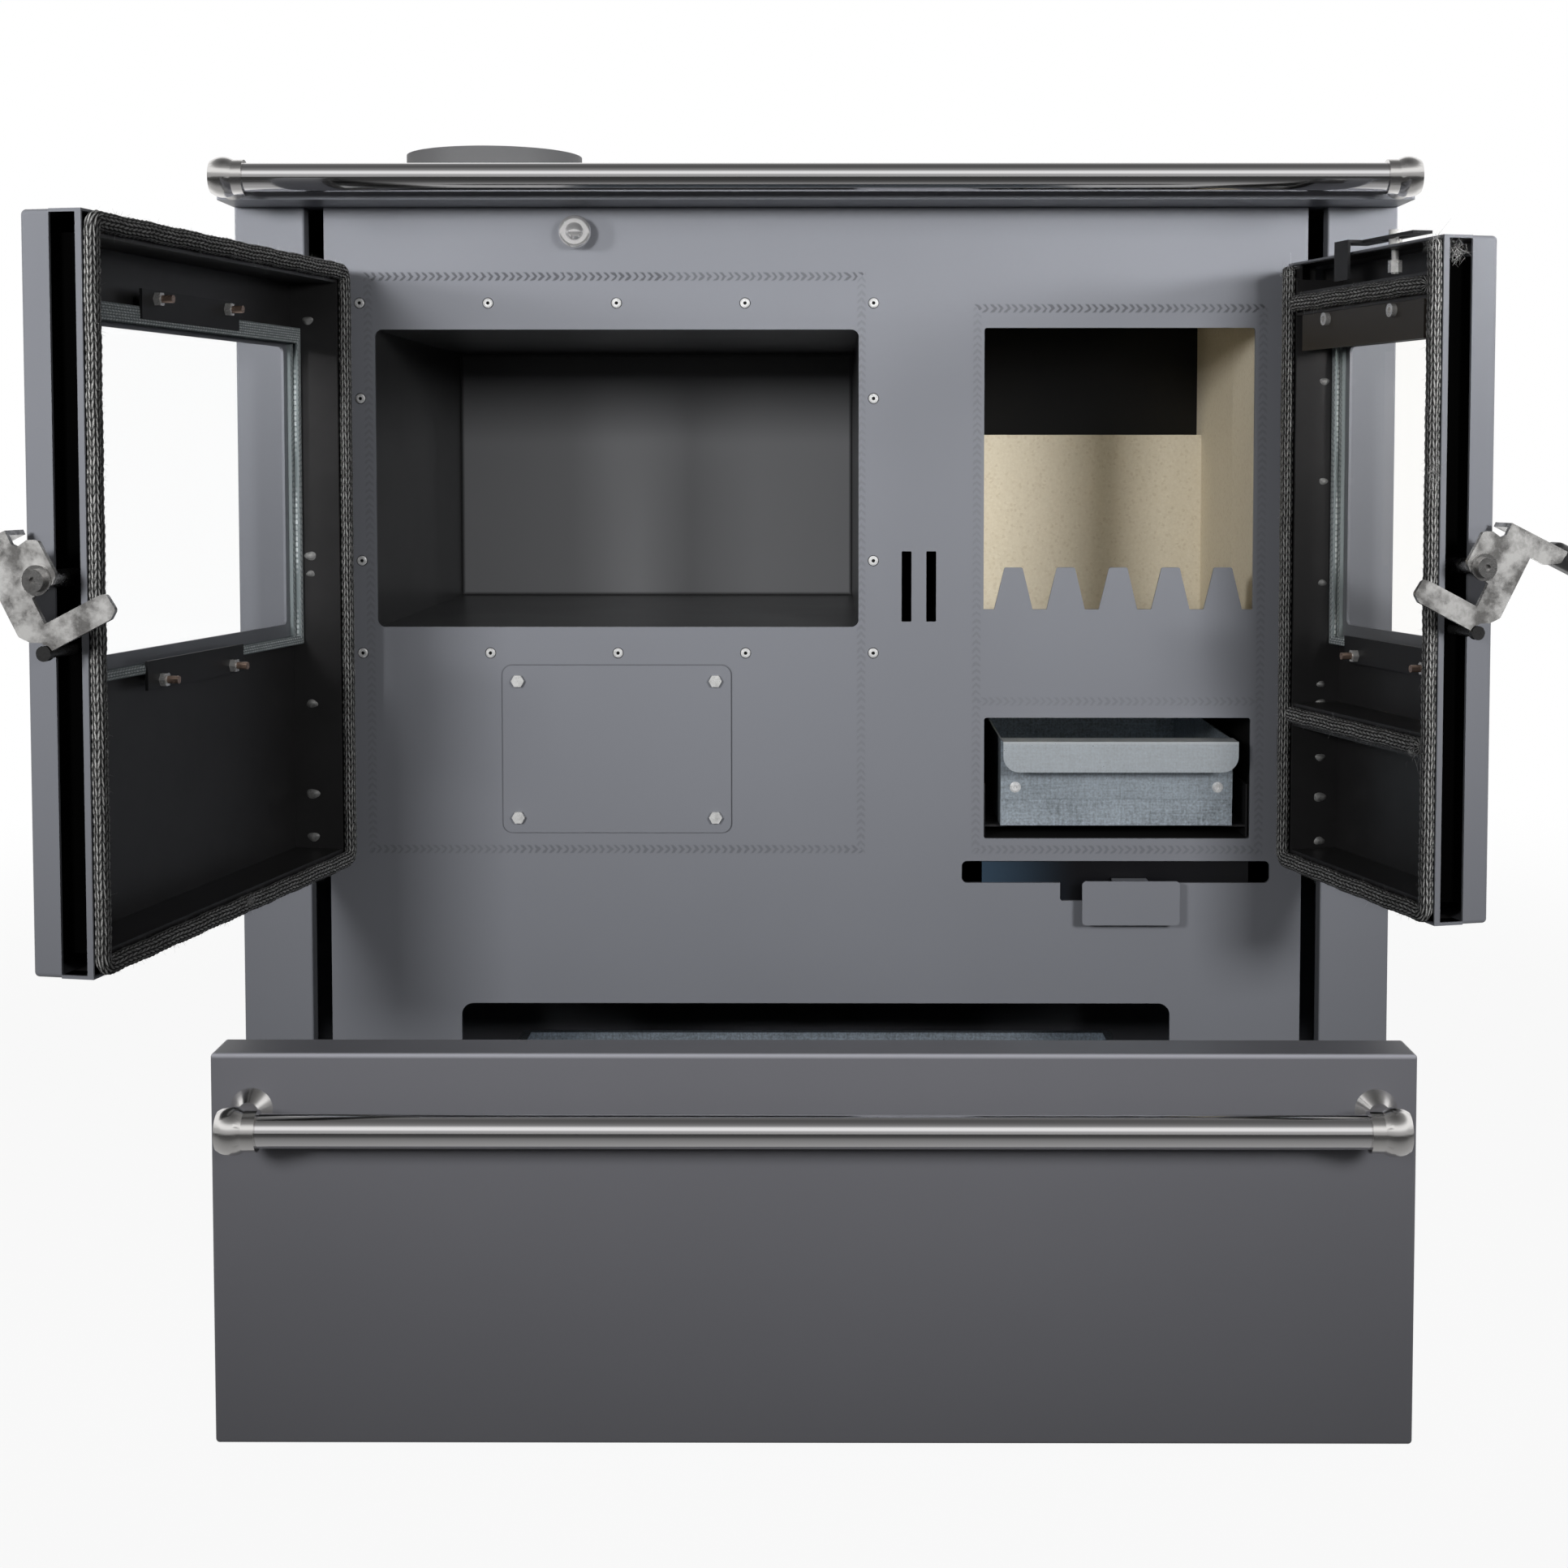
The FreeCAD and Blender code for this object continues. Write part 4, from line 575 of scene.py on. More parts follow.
platedLook = {
    "grainScale": 14, "grainShare": 0.25, "blotchShare": 0.85, "gloss": (1.25, 0.8),
    "relief": 0.10, "depth": 0.0005,
}
platedMetals = {
    "mottledZinc": {
        "light": (0.92, 0.91, 0.89), "dark": (0.15, 0.145, 0.14),
        "scale": 62.0, "low": 0.40, "high": 0.60, "rough": 0.26, "metallic": 0.65,
    },
    "brightZinc": {
        "light": (0.86, 0.86, 0.85), "dark": (0.45, 0.45, 0.44),
        "scale": 220.0, "metallic": 0.45,
    },
    "weldSteel": {
        "light": (0.42, 0.42, 0.41), "dark": (0.12, 0.12, 0.12),
        "scale": 260.0, "low": 0.35, "high": 0.65, "rough": 0.45, "metallic": 0.4,
    },
    "bareAluminium": {
        "light": (0.88, 0.88, 0.88), "dark": (0.528, 0.528, 0.528),
        "scale": 300.0, "metallic": 0.4,
    },
    "latchPins": {
        "light": (0.62, 0.61, 0.60), "dark": (0.31, 0.305, 0.30),
        "scale": 220.0, "metallic": 1.0,
    },
    "studs": {
        "light": (0.84, 0.83, 0.81), "dark": (0.462, 0.4565, 0.4455),
        "scale": 220.0, "rough": 0.26, "metallic": 0.55,
    },
}


# plated steel: soft smoky blotches of tone and gloss over fine grain
def blotchFinish(name, light, dark, scale, metallic, rough=0.3, low=0.3, high=0.6):
    look = platedLook
    material, tree, shader = newMaterial(name, light, metallic, rough)
    coords = objectCoords(tree)
    cloud = noise(tree, coords, scale, detail=7.0, rough=0.62)
    blotch = times(tree, ramp(tree, cloud, [(low, 0.0), (high, 1.0)]), look["blotchShare"])
    grain = noise(tree, coords, scale * look["grainScale"])
    tone = timesPlus(tree, grain, look["grainShare"], blotch)
    shade = blendColour(tree, tone, dark, light)
    gloss = remap(tree, tone, 0.0, 1.0, *scaled(look["gloss"], rough))
    feed(shader, "Base Color", shade)
    feed(shader, "Roughness", gloss)
    bump(tree, shader, tone, look["relief"], look["depth"])
    return material, tree, shader, shade


# rolled zinc sheet: fine grain crossed by hairlines along and up, over slow clouds
zincColour = (0.53, 0.60, 0.665)
zincLook = {
    "metallic": 0.7, "alongHairs": (40.0, 700.0, 700.0), "upHairs": (700.0, 700.0, 60.0), "hairShare": 0.2,
    "grainScale": 520.0, "grainShare": 0.45, "cloudScale": 22.0, "cloudShare": 0.2,
    "spread": (0.36, 0.70), "gloss": (1.2, 0.8), "relief": 0.08, "depth": 0.0003,
}


def zincSheetFinish(name, colour, contrast, rough):
    look = zincLook
    material, tree, shader = newMaterial(name, colour, look["metallic"], rough)
    coords = objectCoords(tree)
    along = noise(tree, stretched(tree, coords, look["alongHairs"]), 1.0)
    upward = noise(tree, stretched(tree, coords, look["upHairs"]), 1.0)
    hairs = times(tree, calc(tree, "ADD", along, upward), look["hairShare"])
    speckle = noise(tree, coords, look["grainScale"], rough=0.6)
    grain = timesPlus(tree, speckle, look["grainShare"], hairs)
    cloud = noise(tree, coords, look["cloudScale"], detail=4.0)
    whole = timesPlus(tree, cloud, look["cloudShare"], grain)
    tone = remap(tree, whole, *look["spread"], 0.0, 1.0)
    shade = blendColour(tree, tone, scaled(colour, 1 - contrast), scaled(colour, 1 + contrast))
    gloss = remap(tree, tone, 0.0, 1.0, *scaled(look["gloss"], rough))
    feed(shader, "Base Color", shade)
    feed(shader, "Roughness", gloss)
    bump(tree, shader, grain, look["relief"], look["depth"])
    return material, tree, shader, shade


# the same sheet on the pan's lip, with a painted sheen on the roll before the riveted strip and a painted
# highlight along its upper bend
lipSheen = {"strip": -0.2660, "top": 0.4272, "edge": 0.0024, "rest": 0.50, "bright": (0.90, 0.95, 0.98)}


def lipFinish():
    material, tree, shader, shade = zincSheetFinish("lipZinc", zincColour, contrast=0.45, rough=0.32)
    y, z = objectPlace(tree)[1:]
    # painted sheen on the roll, strongest as a painted highlight along the upper bend
    front = below(tree, y, lipSheen["strip"])
    fromTop = minus(tree, lipSheen["top"], z)
    edge = remap(tree, fromTop, 0.0, lipSheen["edge"], 1.0, lipSheen["rest"])
    share = times(tree, front, edge)
    feed(shader, "Base Color", blendColour(tree, share, shade, lipSheen["bright"]))
    return material


# chrome with faint lines drawn along the rails, clear to hazy
drawnLines = (5.0, 900.0, 900.0)


def chromeFinish(name, colour, metallic, clear, hazy):
    material, tree, shader = newMaterial(name, colour, metallic, clear)
    drawn = noise(tree, stretched(tree, objectCoords(tree), drawnLines), 1.0, detail=2.0)
    feed(shader, "Roughness", remap(tree, drawn, *midNoise, clear, hazy))
    return material


# ground cast iron: slow clouds of tone and gloss over a sandy grain
castLook = {
    "plain": (0.06, 0.06, 0.06), "dark": (0.040, 0.040, 0.042), "light": (0.085, 0.085, 0.088),
    "metallic": 0.6, "rough": 0.45, "gloss": (0.36, 0.55), "cloudScale": 7.0, "grainScale": 260.0,
    "relief": 0.2, "depth": 0.0005,
}


def castFinish():
    look = castLook
    material, tree, shader = newMaterial("groundCastIron", look["plain"], look["metallic"], look["rough"])
    coords = objectCoords(tree)
    cloud = noise(tree, coords, look["cloudScale"], detail=5.0)
    feed(shader, "Base Color", blendColour(tree, cloud, look["dark"], look["light"]))
    feed(shader, "Roughness", remap(tree, cloud, *midNoise, *look["gloss"]))
    bump(tree, shader, noise(tree, coords, look["grainScale"], 5.0, 0.6), look["relief"], look["depth"])
    return material


# pressed mineral board: pale sandy ground with small faint tan and cream flakes
brickLook = {
    "plain": (0.66, 0.60, 0.47), "rough": 0.9, "specular": 0.15,
    "ground": ((0.72, 0.655, 0.515), (0.80, 0.735, 0.60)), "slowScale": 9.0,
    "sand": (0.58, 0.50, 0.36), "sandScale": 420.0, "sandNoise": (0.35, 0.65), "sandShare": 0.30,
    "tan": (0.40, 0.30, 0.17), "tanFlakes": [(0.88, 0.0), (0.97, 0.17)],
    "cream": (0.82, 0.76, 0.62), "creamFlakes": [(0.03, 0.30), (0.10, 0.0)], "flakeScale": 520.0,
    "relief": 0.15, "depth": 0.0004,
}


def brickFinish():
    look = brickLook
    material, tree, shader = newMaterial(
        "mineralBoard", look["plain"], 0.0, look["rough"], look["specular"]
    )
    coords = objectCoords(tree)
    values = {"Vector": coords, "Scale": look["flakeScale"]}
    cells = addNode(tree, "ShaderNodeTexVoronoi", values).outputs["Color"]
    flake = addNode(tree, "ShaderNodeSeparateColor", {0: cells}).outputs[1]
    sand = noise(tree, coords, look["sandScale"], detail=4.0, rough=0.7)
    slow = noise(tree, coords, look["slowScale"], detail=6.0, rough=0.6)
    ground = blendColour(tree, slow, *look["ground"])
    sandShare = remap(tree, sand, *look["sandNoise"], 0.0, look["sandShare"])
    sandy = blendColour(tree, sandShare, ground, look["sand"])
    tan = blendColour(tree, ramp(tree, flake, look["tanFlakes"]), sandy, look["tan"])
    cream = blendColour(tree, ramp(tree, flake, look["creamFlakes"]), tan, look["cream"])
    feed(shader, "Base Color", cream)
    bump(tree, shader, sand, look["relief"], look["depth"])
    return material


# clear pane: see-through with its own tint, and a mirror at a small part of the Fresnel share
glassLook = {
    "index": 1.45, "mirror": 0.03, "smearScale": 14.0, "smearNoise": (0.35, 0.7),
    "smear": (0.02, 0.09),
}


def glassFinish(name, tint):
    look = glassLook
    material, tree = emptyMaterial(name)
    cloud = noise(tree, objectCoords(tree), look["smearScale"], detail=5.0)
    smear = remap(tree, cloud, *look["smearNoise"], *look["smear"])
    clear = addNode(tree, "ShaderNodeBsdfTransparent", {"Color": (*tint, 1)})
    mirror = addNode(tree, "ShaderNodeBsdfGlossy", {"Color": (1, 1, 1, 1), "Roughness": smear})
    fresnel = addNode(tree, "ShaderNodeFresnel", {"IOR": look["index"]}).outputs[0]
    share = times(tree, fresnel, look["mirror"])
    pane = addNode(tree, "ShaderNodeMixShader", {0: share, 1: clear.outputs[0], 2: mirror.outputs[0]})
    addNode(tree, "ShaderNodeOutputMaterial", {"Surface": pane.outputs[0]})
    return material


knitLook = {
    "rough": 0.85, "specular": 0.25, "bulge": (0.7, 0.3), "crownPower": 0.6,
    "flecks": [(0.36, 0.0), (0.64, 1.0)], "fleckShare": 0.45, "chance": (0.35, 0.2),
    "hollow": (0.45, 0.95), "hollowLight": (0.02, 1.0), "relief": 0.8,
}


# knitted yarn: columns of V stitches with rounded legs, the phase along the run shifted by the distance
# from the column's middle
def knitFinish(name, dark, light, fleckScale, lean, depth):
    look = knitLook
    material, tree, shader = newMaterial(name, light, 0.0, look["rough"], look["specular"])
    along = attribute(tree, "along")
    around = attribute(tree, "around")
    fromMiddle = unsigned(tree, timesPlus(tree, calc(tree, "FRACT", around), 2.0, -1.0))
    phase = timesPlus(tree, fromMiddle, lean, along)
    bulge = calc(tree, "SINE", times(tree, calc(tree, "FRACT", phase), math.pi))
    legs = times(tree, around, 2.0)
    crown = calc(tree, "SINE", times(tree, calc(tree, "FRACT", legs), math.pi))
    rounded = timesPlus(tree, calc(tree, "SQRT", bulge), *look["bulge"])
    height = times(tree, calc(tree, "POWER", crown, look["crownPower"]), rounded)
    values = {0: calc(tree, "FLOOR", phase), 1: calc(tree, "FLOOR", legs)}
    stitch = addNode(tree, "ShaderNodeCombineXYZ", values).outputs[0]
    chance = addNode(tree, "ShaderNodeTexWhiteNoise", {"Vector": stitch}).outputs["Value"]
    grain = noise(tree, objectCoords(tree), fleckScale, detail=2.0, rough=0.7)
    fleck = ramp(tree, grain, look["flecks"])
    stitchTone = timesPlus(tree, chance, *look["chance"])
    tone = timesPlus(tree, fleck, look["fleckShare"], stitchTone)
    # painted shade: the yarn darkens towards the hollows between the stitches and their legs
    lightness = remap(tree, height, *look["hollow"], *look["hollowLight"], "SMOOTHSTEP")
    shaded = times(tree, tone, lightness)
    feed(shader, "Base Color", blendColour(tree, shaded, dark, light))
    bump(tree, shader, height, look["relief"], depth)
    return material


# loose fibres: each hair has its own grey, worn along its length
fibreLook = {"rough": 0.8, "specular": 0.3, "wearScale": 700.0, "wear": (0.6, 1.0)}


def fibreFinish(name, dark, light):
    look = fibreLook
    material, tree, shader = newMaterial(name, light, 0.0, look["rough"], look["specular"])
    grain = noise(tree, objectCoords(tree), look["wearScale"], detail=2.0)
    wear = remap(tree, grain, *midNoise, *look["wear"])
    worn = times(tree, attribute(tree, "chance"), wear)
    feed(shader, "Base Color", blendColour(tree, worn, dark, light))
    return material


fastenerMarks = {
    "eyeShade": (0.01, 0.01, 0.01), "screwColour": (0.02, 0.02, 0.02), "screwTop": 0.545,
    "tipColour": (0.34, 0.24, 0.19), "tipDepth": -0.0296,
}


# bright aluminium, with painted shade filling the rivets' eyes in black, whose floors lie on the panel's
# face
def rivetFinish():
    material, tree, shader, shade = blotchFinish("bareAluminium", **platedMetals["bareAluminium"])
    y = objectPlace(tree)[1]
    fromFace = unsigned(tree, minus(tree, y, hinge["panelY"]))
    # painted shade: black where the eye's floor lies on the panel's face
    shadedEye = below(tree, fromFace, faceSlack["rivetEye"])
    feed(shader, "Base Color", blendColour(tree, shadedEye, shade, fastenerMarks["eyeShade"]))
    return material


# zinc pins with a black stop screw below the pivot
def pinFinish():
    material, tree, shader, shade = blotchFinish("latchPins", **platedMetals["latchPins"])
    z = objectPlace(tree)[2]
    low = below(tree, z, fastenerMarks["screwTop"])
    feed(shader, "Base Color", blendColour(tree, low, shade, fastenerMarks["screwColour"]))
    feed(shader, "Metallic", minus(tree, 1.0, low))
    return material


# zinc nuts on studs whose free tips are coppery up to a height
def studFinish(name, door, highest):
    material, tree, shader, shade = blotchFinish(name, **platedMetals["studs"])
    d, z = doorCoords(tree, door)[1:]
    deep = above(tree, d, fastenerMarks["tipDepth"])
    tip = times(tree, deep, below(tree, z, highest))
    feed(shader, "Base Color", blendColour(tree, tip, shade, fastenerMarks["tipColour"]))
    return material


# painted tab before the panel; the blade behind it is bluish on the left, fading to black as painted shade
# in the slot
bladeLook = {"fade": (0.110, 0.200), "bluish": (0.026, 0.045, 0.068), "black": (0.003, 0.003, 0.004)}


def sliderFinish():
    material, tree, shader, shade = paintFinish("sliderPaint", anthraciteColour, **satin)
    x, y = objectPlace(tree)[:2]
    # painted shade: behind the panel's face the blade goes black towards the right
    behind = above(tree, y, hinge["panelY"] - faceSlack["slider"])
    fade = remap(tree, x, *bladeLook["fade"], 0.0, 1.0, "SMOOTHSTEP")
    blade = blendColour(tree, fade, bladeLook["bluish"], bladeLook["black"])
    feed(shader, "Base Color", blendColour(tree, behind, shade, blade))
    return material


weldSteel = blotchFinish("weldSteel", **platedMetals["weldSteel"])[0]
ropeYarn = knitFinish(
    "ropeYarn", dark=(0.006, 0.006, 0.006), light=(0.52, 0.52, 0.51),
    fleckScale=1100.0, lean=1.0, depth=0.0008,
)
tapeYarn = knitFinish(
    "tapeYarn", dark=(0.17, 0.195, 0.20), light=(0.72, 0.76, 0.77),
    fleckScale=1500.0, lean=0.6, depth=0.0004,
)
ropeFibre = fibreFinish("ropeFibre", dark=(0.03, 0.03, 0.03), light=(0.60, 0.60, 0.59))
frayFibre = fibreFinish("frayFibre", dark=(0.06, 0.06, 0.06), light=(0.74, 0.74, 0.73))
chrome = chromeFinish("polishedChrome", (0.74, 0.73, 0.735), metallic=1.0, clear=0.06, hazy=0.15)
endChrome = chromeFinish("endChrome", (0.76, 0.745, 0.73), metallic=1.0, clear=0.17, hazy=0.24)
knobChrome = chromeFinish("knobChrome", (0.90, 0.89, 0.89), metallic=0.86, clear=0.16, hazy=0.24)
nodeFinishes = {
    anthracite: (
        "left_side_panel", "right_side_panel", "back_panel", "base", "top_frame", "cleanout_cover",
    ),
    drawerFinish(): ("drawer_front",),
    panelFinish(): ("front_panel",),
    linedFinish("ovenSkinPaint", ovenDoor, **skinLining): ("oven_door_skin",),
    linedFinish("fireSkinPaint", fireDoor, **skinLining): ("fire_door_skin",),
    linedFinish("ovenFramePaint", ovenDoor, **frameLining): ("oven_door_frame",),
    linedFinish("fireFramePaint", fireDoor, **frameLining): ("fire_door_frame",),
    sliderFinish(): ("air_slider",),
    paints["sootBlack"]: ("inner_body", "ash_box"),
    paints["firedSteel"]: ("firebox_shell",),
    ovenFinish(): ("oven_liner",),
    paints["matteBlack"]: (
        "ash_guides", "drawer_runners", "air_slider_guides", "door_hinge_brackets",
        "oven_door_hinge_barrels", "fire_door_hinge_barrels", "oven_door_clamps", "fire_door_clamp",
        "fire_door_air_slide",
    ),
    paints["bronzedSteel"]: ("fire_door_deflector",),
    paints["collarGrey"]: ("flue_collar",),
    castFinish(): ("cooking_plate", "hob_lid", "grate"),
    chrome: ("top_rail", "drawer_rail"),
    endChrome: ("top_rail_ends", "drawer_rail_ends"),
    knobChrome: ("damper_knob",),
    blotchFinish("mottledZinc", **platedMetals["mottledZinc"])[0]: ("oven_latch_plate", "fire_latch_plate"),
    pinFinish(): ("oven_latch_pins", "fire_latch_pins"),
    studFinish("ovenStuds", ovenDoor, highest=2.0): ("oven_door_studs",),
    studFinish("fireStuds", fireDoor, highest=0.52): ("fire_door_studs",),
    blotchFinish("brightZinc", **platedMetals["brightZinc"])[0]: (
        "cleanout_bolts", "damper_rod", "damper_guide",
    ),
    rivetFinish(): ("oven_rivets", "ash_pan_rivets"),
    zincSheetFinish("galvanisedSheet", zincColour, contrast=0.55, rough=0.36)[0]: ("ash_pan", "drawer_box"),
    lipFinish(): ("ash_pan_lip",),
    brickFinish(): ("firebox_bricks",),
    glassFinish("ovenGlass", (0.998, 1.0, 1.0)): ("oven_door_glass",),
    glassFinish("fireGlass", (1.0, 0.997, 0.988)): ("fire_door_glass",),
    paints["gripBlack"]: ("oven_latch_grip", "fire_latch_grip"),
}
print("finishes ready")
for finish, nodeNames in nodeFinishes.items():
    for nodeName in nodeNames:
        nodes[nodeName].data.materials.clear()
        nodes[nodeName].data.materials.append(finish)
print("finishes given to the nodes")


# ropes

arcPoints = 13
fewestSteps = 8


# corner points joined by straight runs and quarter arcs, walked in even steps
def walkLine(corners, radius, step, closed):
    corners = np.asarray(corners, dtype=float)
    count = len(corners)
    swing = np.linspace(0, math.pi / 2, arcPoints)[:, None]
    pieces = []
    for i in range(count):
        here = corners[i]
        if not closed and i in (0, count - 1):
            pieces.append(here[None, :])
            continue
        back = corners[i - 1] - here
        ahead = corners[(i + 1) % count] - here
        back = back / np.linalg.norm(back)
        ahead = ahead / np.linalg.norm(ahead)
        centre = here + (back + ahead) * radius
        pieces.append(centre - ahead * radius * np.cos(swing) - back * radius * np.sin(swing))
    line = np.concatenate(pieces)
    if closed:
        line = np.concatenate((line[-1:], line))
    run = np.concatenate(([0.0], np.cumsum(np.linalg.norm(np.diff(line, axis=0), axis=1))))
    along = np.linspace(0, run[-1], max(fewestSteps, round(run[-1] / step)) + 1)
    walked = np.stack([np.interp(along, run, line[:, k]) for k in range(2)], axis=-1)
    tangent = np.gradient(walked, along, axis=0)
    tangent = tangent / np.linalg.norm(tangent, axis=1)[:, None]
    if closed:
        tangent[[0, -1]] = tangent[1]
    return walked, tangent, along


ropeSetup = {
    "halfWide": 0.0060,
    "halfThick": 0.0045,
    "depth": -0.0055,
    "inset": 0.0062,
    "bend": 0.0067,
    "topGap": 0.0023,
    "crossInset": 0.0148,
    "step": 0.0008,
    "sides": 36,
    "columns": 7,
    "pitch": 0.0054,
    "lean": 1.0,
    "loopDepth": 0.22,
    "sag": 0.00025,
    "slowWave": 0.055,
    "quickWave": 0.021,
    "quickShare": 0.6,
    "endTaper": 0.002,
    "endLeast": 0.03,
}


# flattened tube; its radius dips between the stitches, and it wavers a little along the run
def ropePiece(name, door, corners, closed, seed):
    rope = ropeSetup
    walked, tangent, along = walkLine(corners, rope["bend"], rope["step"], closed)
    length = along[-1]
    stitches = round(length / rope["pitch"])
    theta = np.linspace(0, 2 * np.pi, rope["sides"] + 1)[None, :]
    column = theta / (2 * np.pi) * rope["columns"]
    row = (along / length * stitches)[:, None]
    fromMiddle = np.abs(2 * (column % 1.0) - 1)
    phase = (row + rope["lean"] * fromMiddle) % 1.0
    loop = np.sqrt(np.sin(np.pi * phase)) * (0.5 + 0.5 * np.abs(np.sin(2 * np.pi * column)))
    radius = 1 - rope["loopDepth"] * (1 - loop)
    slow = 2 * np.pi * np.round(length / rope["slowWave"]) * along / length
    quick = 2 * np.pi * np.round(length / rope["quickWave"]) * along / length
    waver = rope["sag"] * (np.sin(slow + seed) + rope["quickShare"] * np.sin(quick + 2 * seed))
    if not closed:
        ends = np.minimum(along, length - along)[:, None]
        radius = radius * np.sqrt(np.clip(ends / rope["endTaper"], rope["endLeast"], 1.0))
    sideways = np.stack((-tangent[:, 1], tangent[:, 0]), axis=-1)
    flat = rope["halfWide"] * radius * -np.sin(theta) + waver[:, None]
    u = walked[:, None, 0] + flat * sideways[:, None, 0]
    z = walked[:, None, 1] + flat * sideways[:, None, 1]
    d = rope["depth"] - rope["halfThick"] * radius * np.cos(theta)
    faces = gridFaces(len(walked), rope["sides"] + 1)
    if door["side"] > 0:
        faces = faces[:, ::-1]
    piece = meshPiece(name, doorPoints(door, u, d, z), faces, ropeYarn)
    giveValue(piece, "along", np.broadcast_to(row, u.shape))
    giveValue(piece, "around", np.broadcast_to(column, u.shape))
    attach(piece, door["body"])
    return piece, walked, sideways


hairSetup = {"points": 4, "curl": 0.45, "taper": 0.7, "pressed": -0.0004}
fuzzSetup = {
    "perMetre": 2200, "length": (0.0008, 0.0032), "width": 0.00014, "spread": 0.62 * np.pi,
    "rootShare": 0.9, "lift": 0.5, "scatter": 0.5,
}
fraySetup = {
    "long": (0.0025, 0.0062), "short": (0.0015, 0.0042), "width": 0.00026, "scatter": 0.55,
    "ovenHairs": 240, "fireHairs": 160,
}


# hairs: bent tapering strips from a root, base + reach * t + curl * t squared, pressed flat where they
# would pass the panel's face with the door shut
def fibrePiece(name, door, material, roots, ways, lengths, width, random):
    hair = hairSetup
    count = len(roots)
    ways = ways / np.linalg.norm(ways, axis=1)[:, None]
    curl = random.normal(0, hair["curl"], (count, 3))
    across = np.cross(ways, random.normal(0, 1, (count, 3)))
    across = across / np.linalg.norm(across, axis=1)[:, None]
    t = np.linspace(0, 1, hair["points"])[None, :, None, None]
    side = np.array((-0.5, 0.5))[None, None, :, None]
    grow = ways[:, None, None, :] * t + curl[:, None, None, :] * t ** 2
    points = roots[:, None, None, :] + lengths[:, None, None, None] * grow
    points = points + across[:, None, None, :] * side * width * (1 - hair["taper"] * t)
    depth = np.minimum(points[..., 1], hair["pressed"])
    turned = doorPoints(door, points[..., 0], depth, points[..., 2])
    piece = meshPiece(name, turned, manyFaces(count, hair["points"], 2), material)
    chance = random.uniform(0, 1, (count, 1, 1))
    giveValue(piece, "chance", np.broadcast_to(chance, (count, hair["points"], 2)))
    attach(piece, door["body"])


# roots spread over the rope's open side, pointing out of it
def fuzzRope(name, door, walked, sideways, random):
    rope = ropeSetup
    fuzz = fuzzSetup
    length = np.linalg.norm(np.diff(walked, axis=0), axis=1).sum()
    count = int(length * fuzz["perMetre"])
    pick = random.integers(0, len(walked), count)
    angle = random.uniform(-fuzz["spread"], fuzz["spread"], count)
    outU = np.sin(angle) * sideways[pick, 0]
    outZ = np.sin(angle) * sideways[pick, 1]
    rise = np.cos(angle)
    reach = fuzz["rootShare"] * rope["halfWide"]
    rootD = rope["depth"] + fuzz["rootShare"] * rope["halfThick"] * rise
    roots = np.stack((walked[pick, 0] + reach * outU, rootD, walked[pick, 1] + reach * outZ), axis=-1)
    ways = np.stack((outU, rise * fuzz["lift"], outZ), axis=-1)
    ways = ways + random.normal(0, fuzz["scatter"], (count, 3))
    lengths = random.uniform(*fuzz["length"], count)
    fibrePiece(name, door, ropeFibre, roots, ways, lengths, fuzz["width"], random)


# a tuft of cut yarn round one spot
def frayTuft(name, door, tuft, reach, count, random):
    roots = np.asarray(tuft["spot"]) + random.normal(0, 1, (count, 3)) * np.asarray(tuft["spread"])
    ways = np.asarray(tuft["way"]) + random.normal(0, fraySetup["scatter"], (count, 3))
    lengths = random.uniform(*reach, count)
    fibrePiece(name, door, frayFibre, roots, ways, lengths, fraySetup["width"], random)


random = np.random.default_rng(11)
inset = ropeSetup["inset"]
nearU = doorBox["frameEdge"] + inset
lowZ = doorBox["bottom"] + inset
highZ = doorBox["top"] - inset
ovenFarU = ovenDoor["free"] - inset
ovenCorners = [(ovenFarU, lowZ), (ovenFarU, highZ), (nearU, highZ), (nearU, lowZ)]
ovenRope, ovenLine, ovenSideways = ropePiece("ovenDoorRope", ovenDoor, ovenCorners, True, seed=1.0)
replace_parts(ovenRope, "oven_door_rope")
fuzzRope("ovenRopeFuzz", ovenDoor, ovenLine, ovenSideways, random)

fireFarU = fireDoor["free"] - inset
fireTopZ = doorBox["top"] - ropeSetup["topGap"]
fireCorners = [(nearU, fireTopZ), (nearU, lowZ), (fireFarU, lowZ), (fireFarU, fireTopZ)]
fireRope, fireLine, fireSideways = ropePiece("fireDoorRope", fireDoor, fireCorners, False, seed=2.0)
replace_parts(fireRope, "fire_door_rope")
fuzzRope("fireRopeFuzz", fireDoor, fireLine, fireSideways, random)
crossRopes = {"fireDoorUpperRope": 0.747, "fireDoorMiddleRope": 0.4505}
crossStart = doorBox["frameEdge"] + ropeSetup["crossInset"]
crossEnd = fireDoor["free"] - ropeSetup["crossInset"]
for crossName, level in crossRopes.items():
    crossCorners = [(crossStart, level), (crossEnd, level)]
    crossLine, crossSideways = ropePiece(crossName, fireDoor, crossCorners, False, seed=100 * level)[1:]
    fuzzRope(crossName + "Fuzz", fireDoor, crossLine, crossSideways, random)

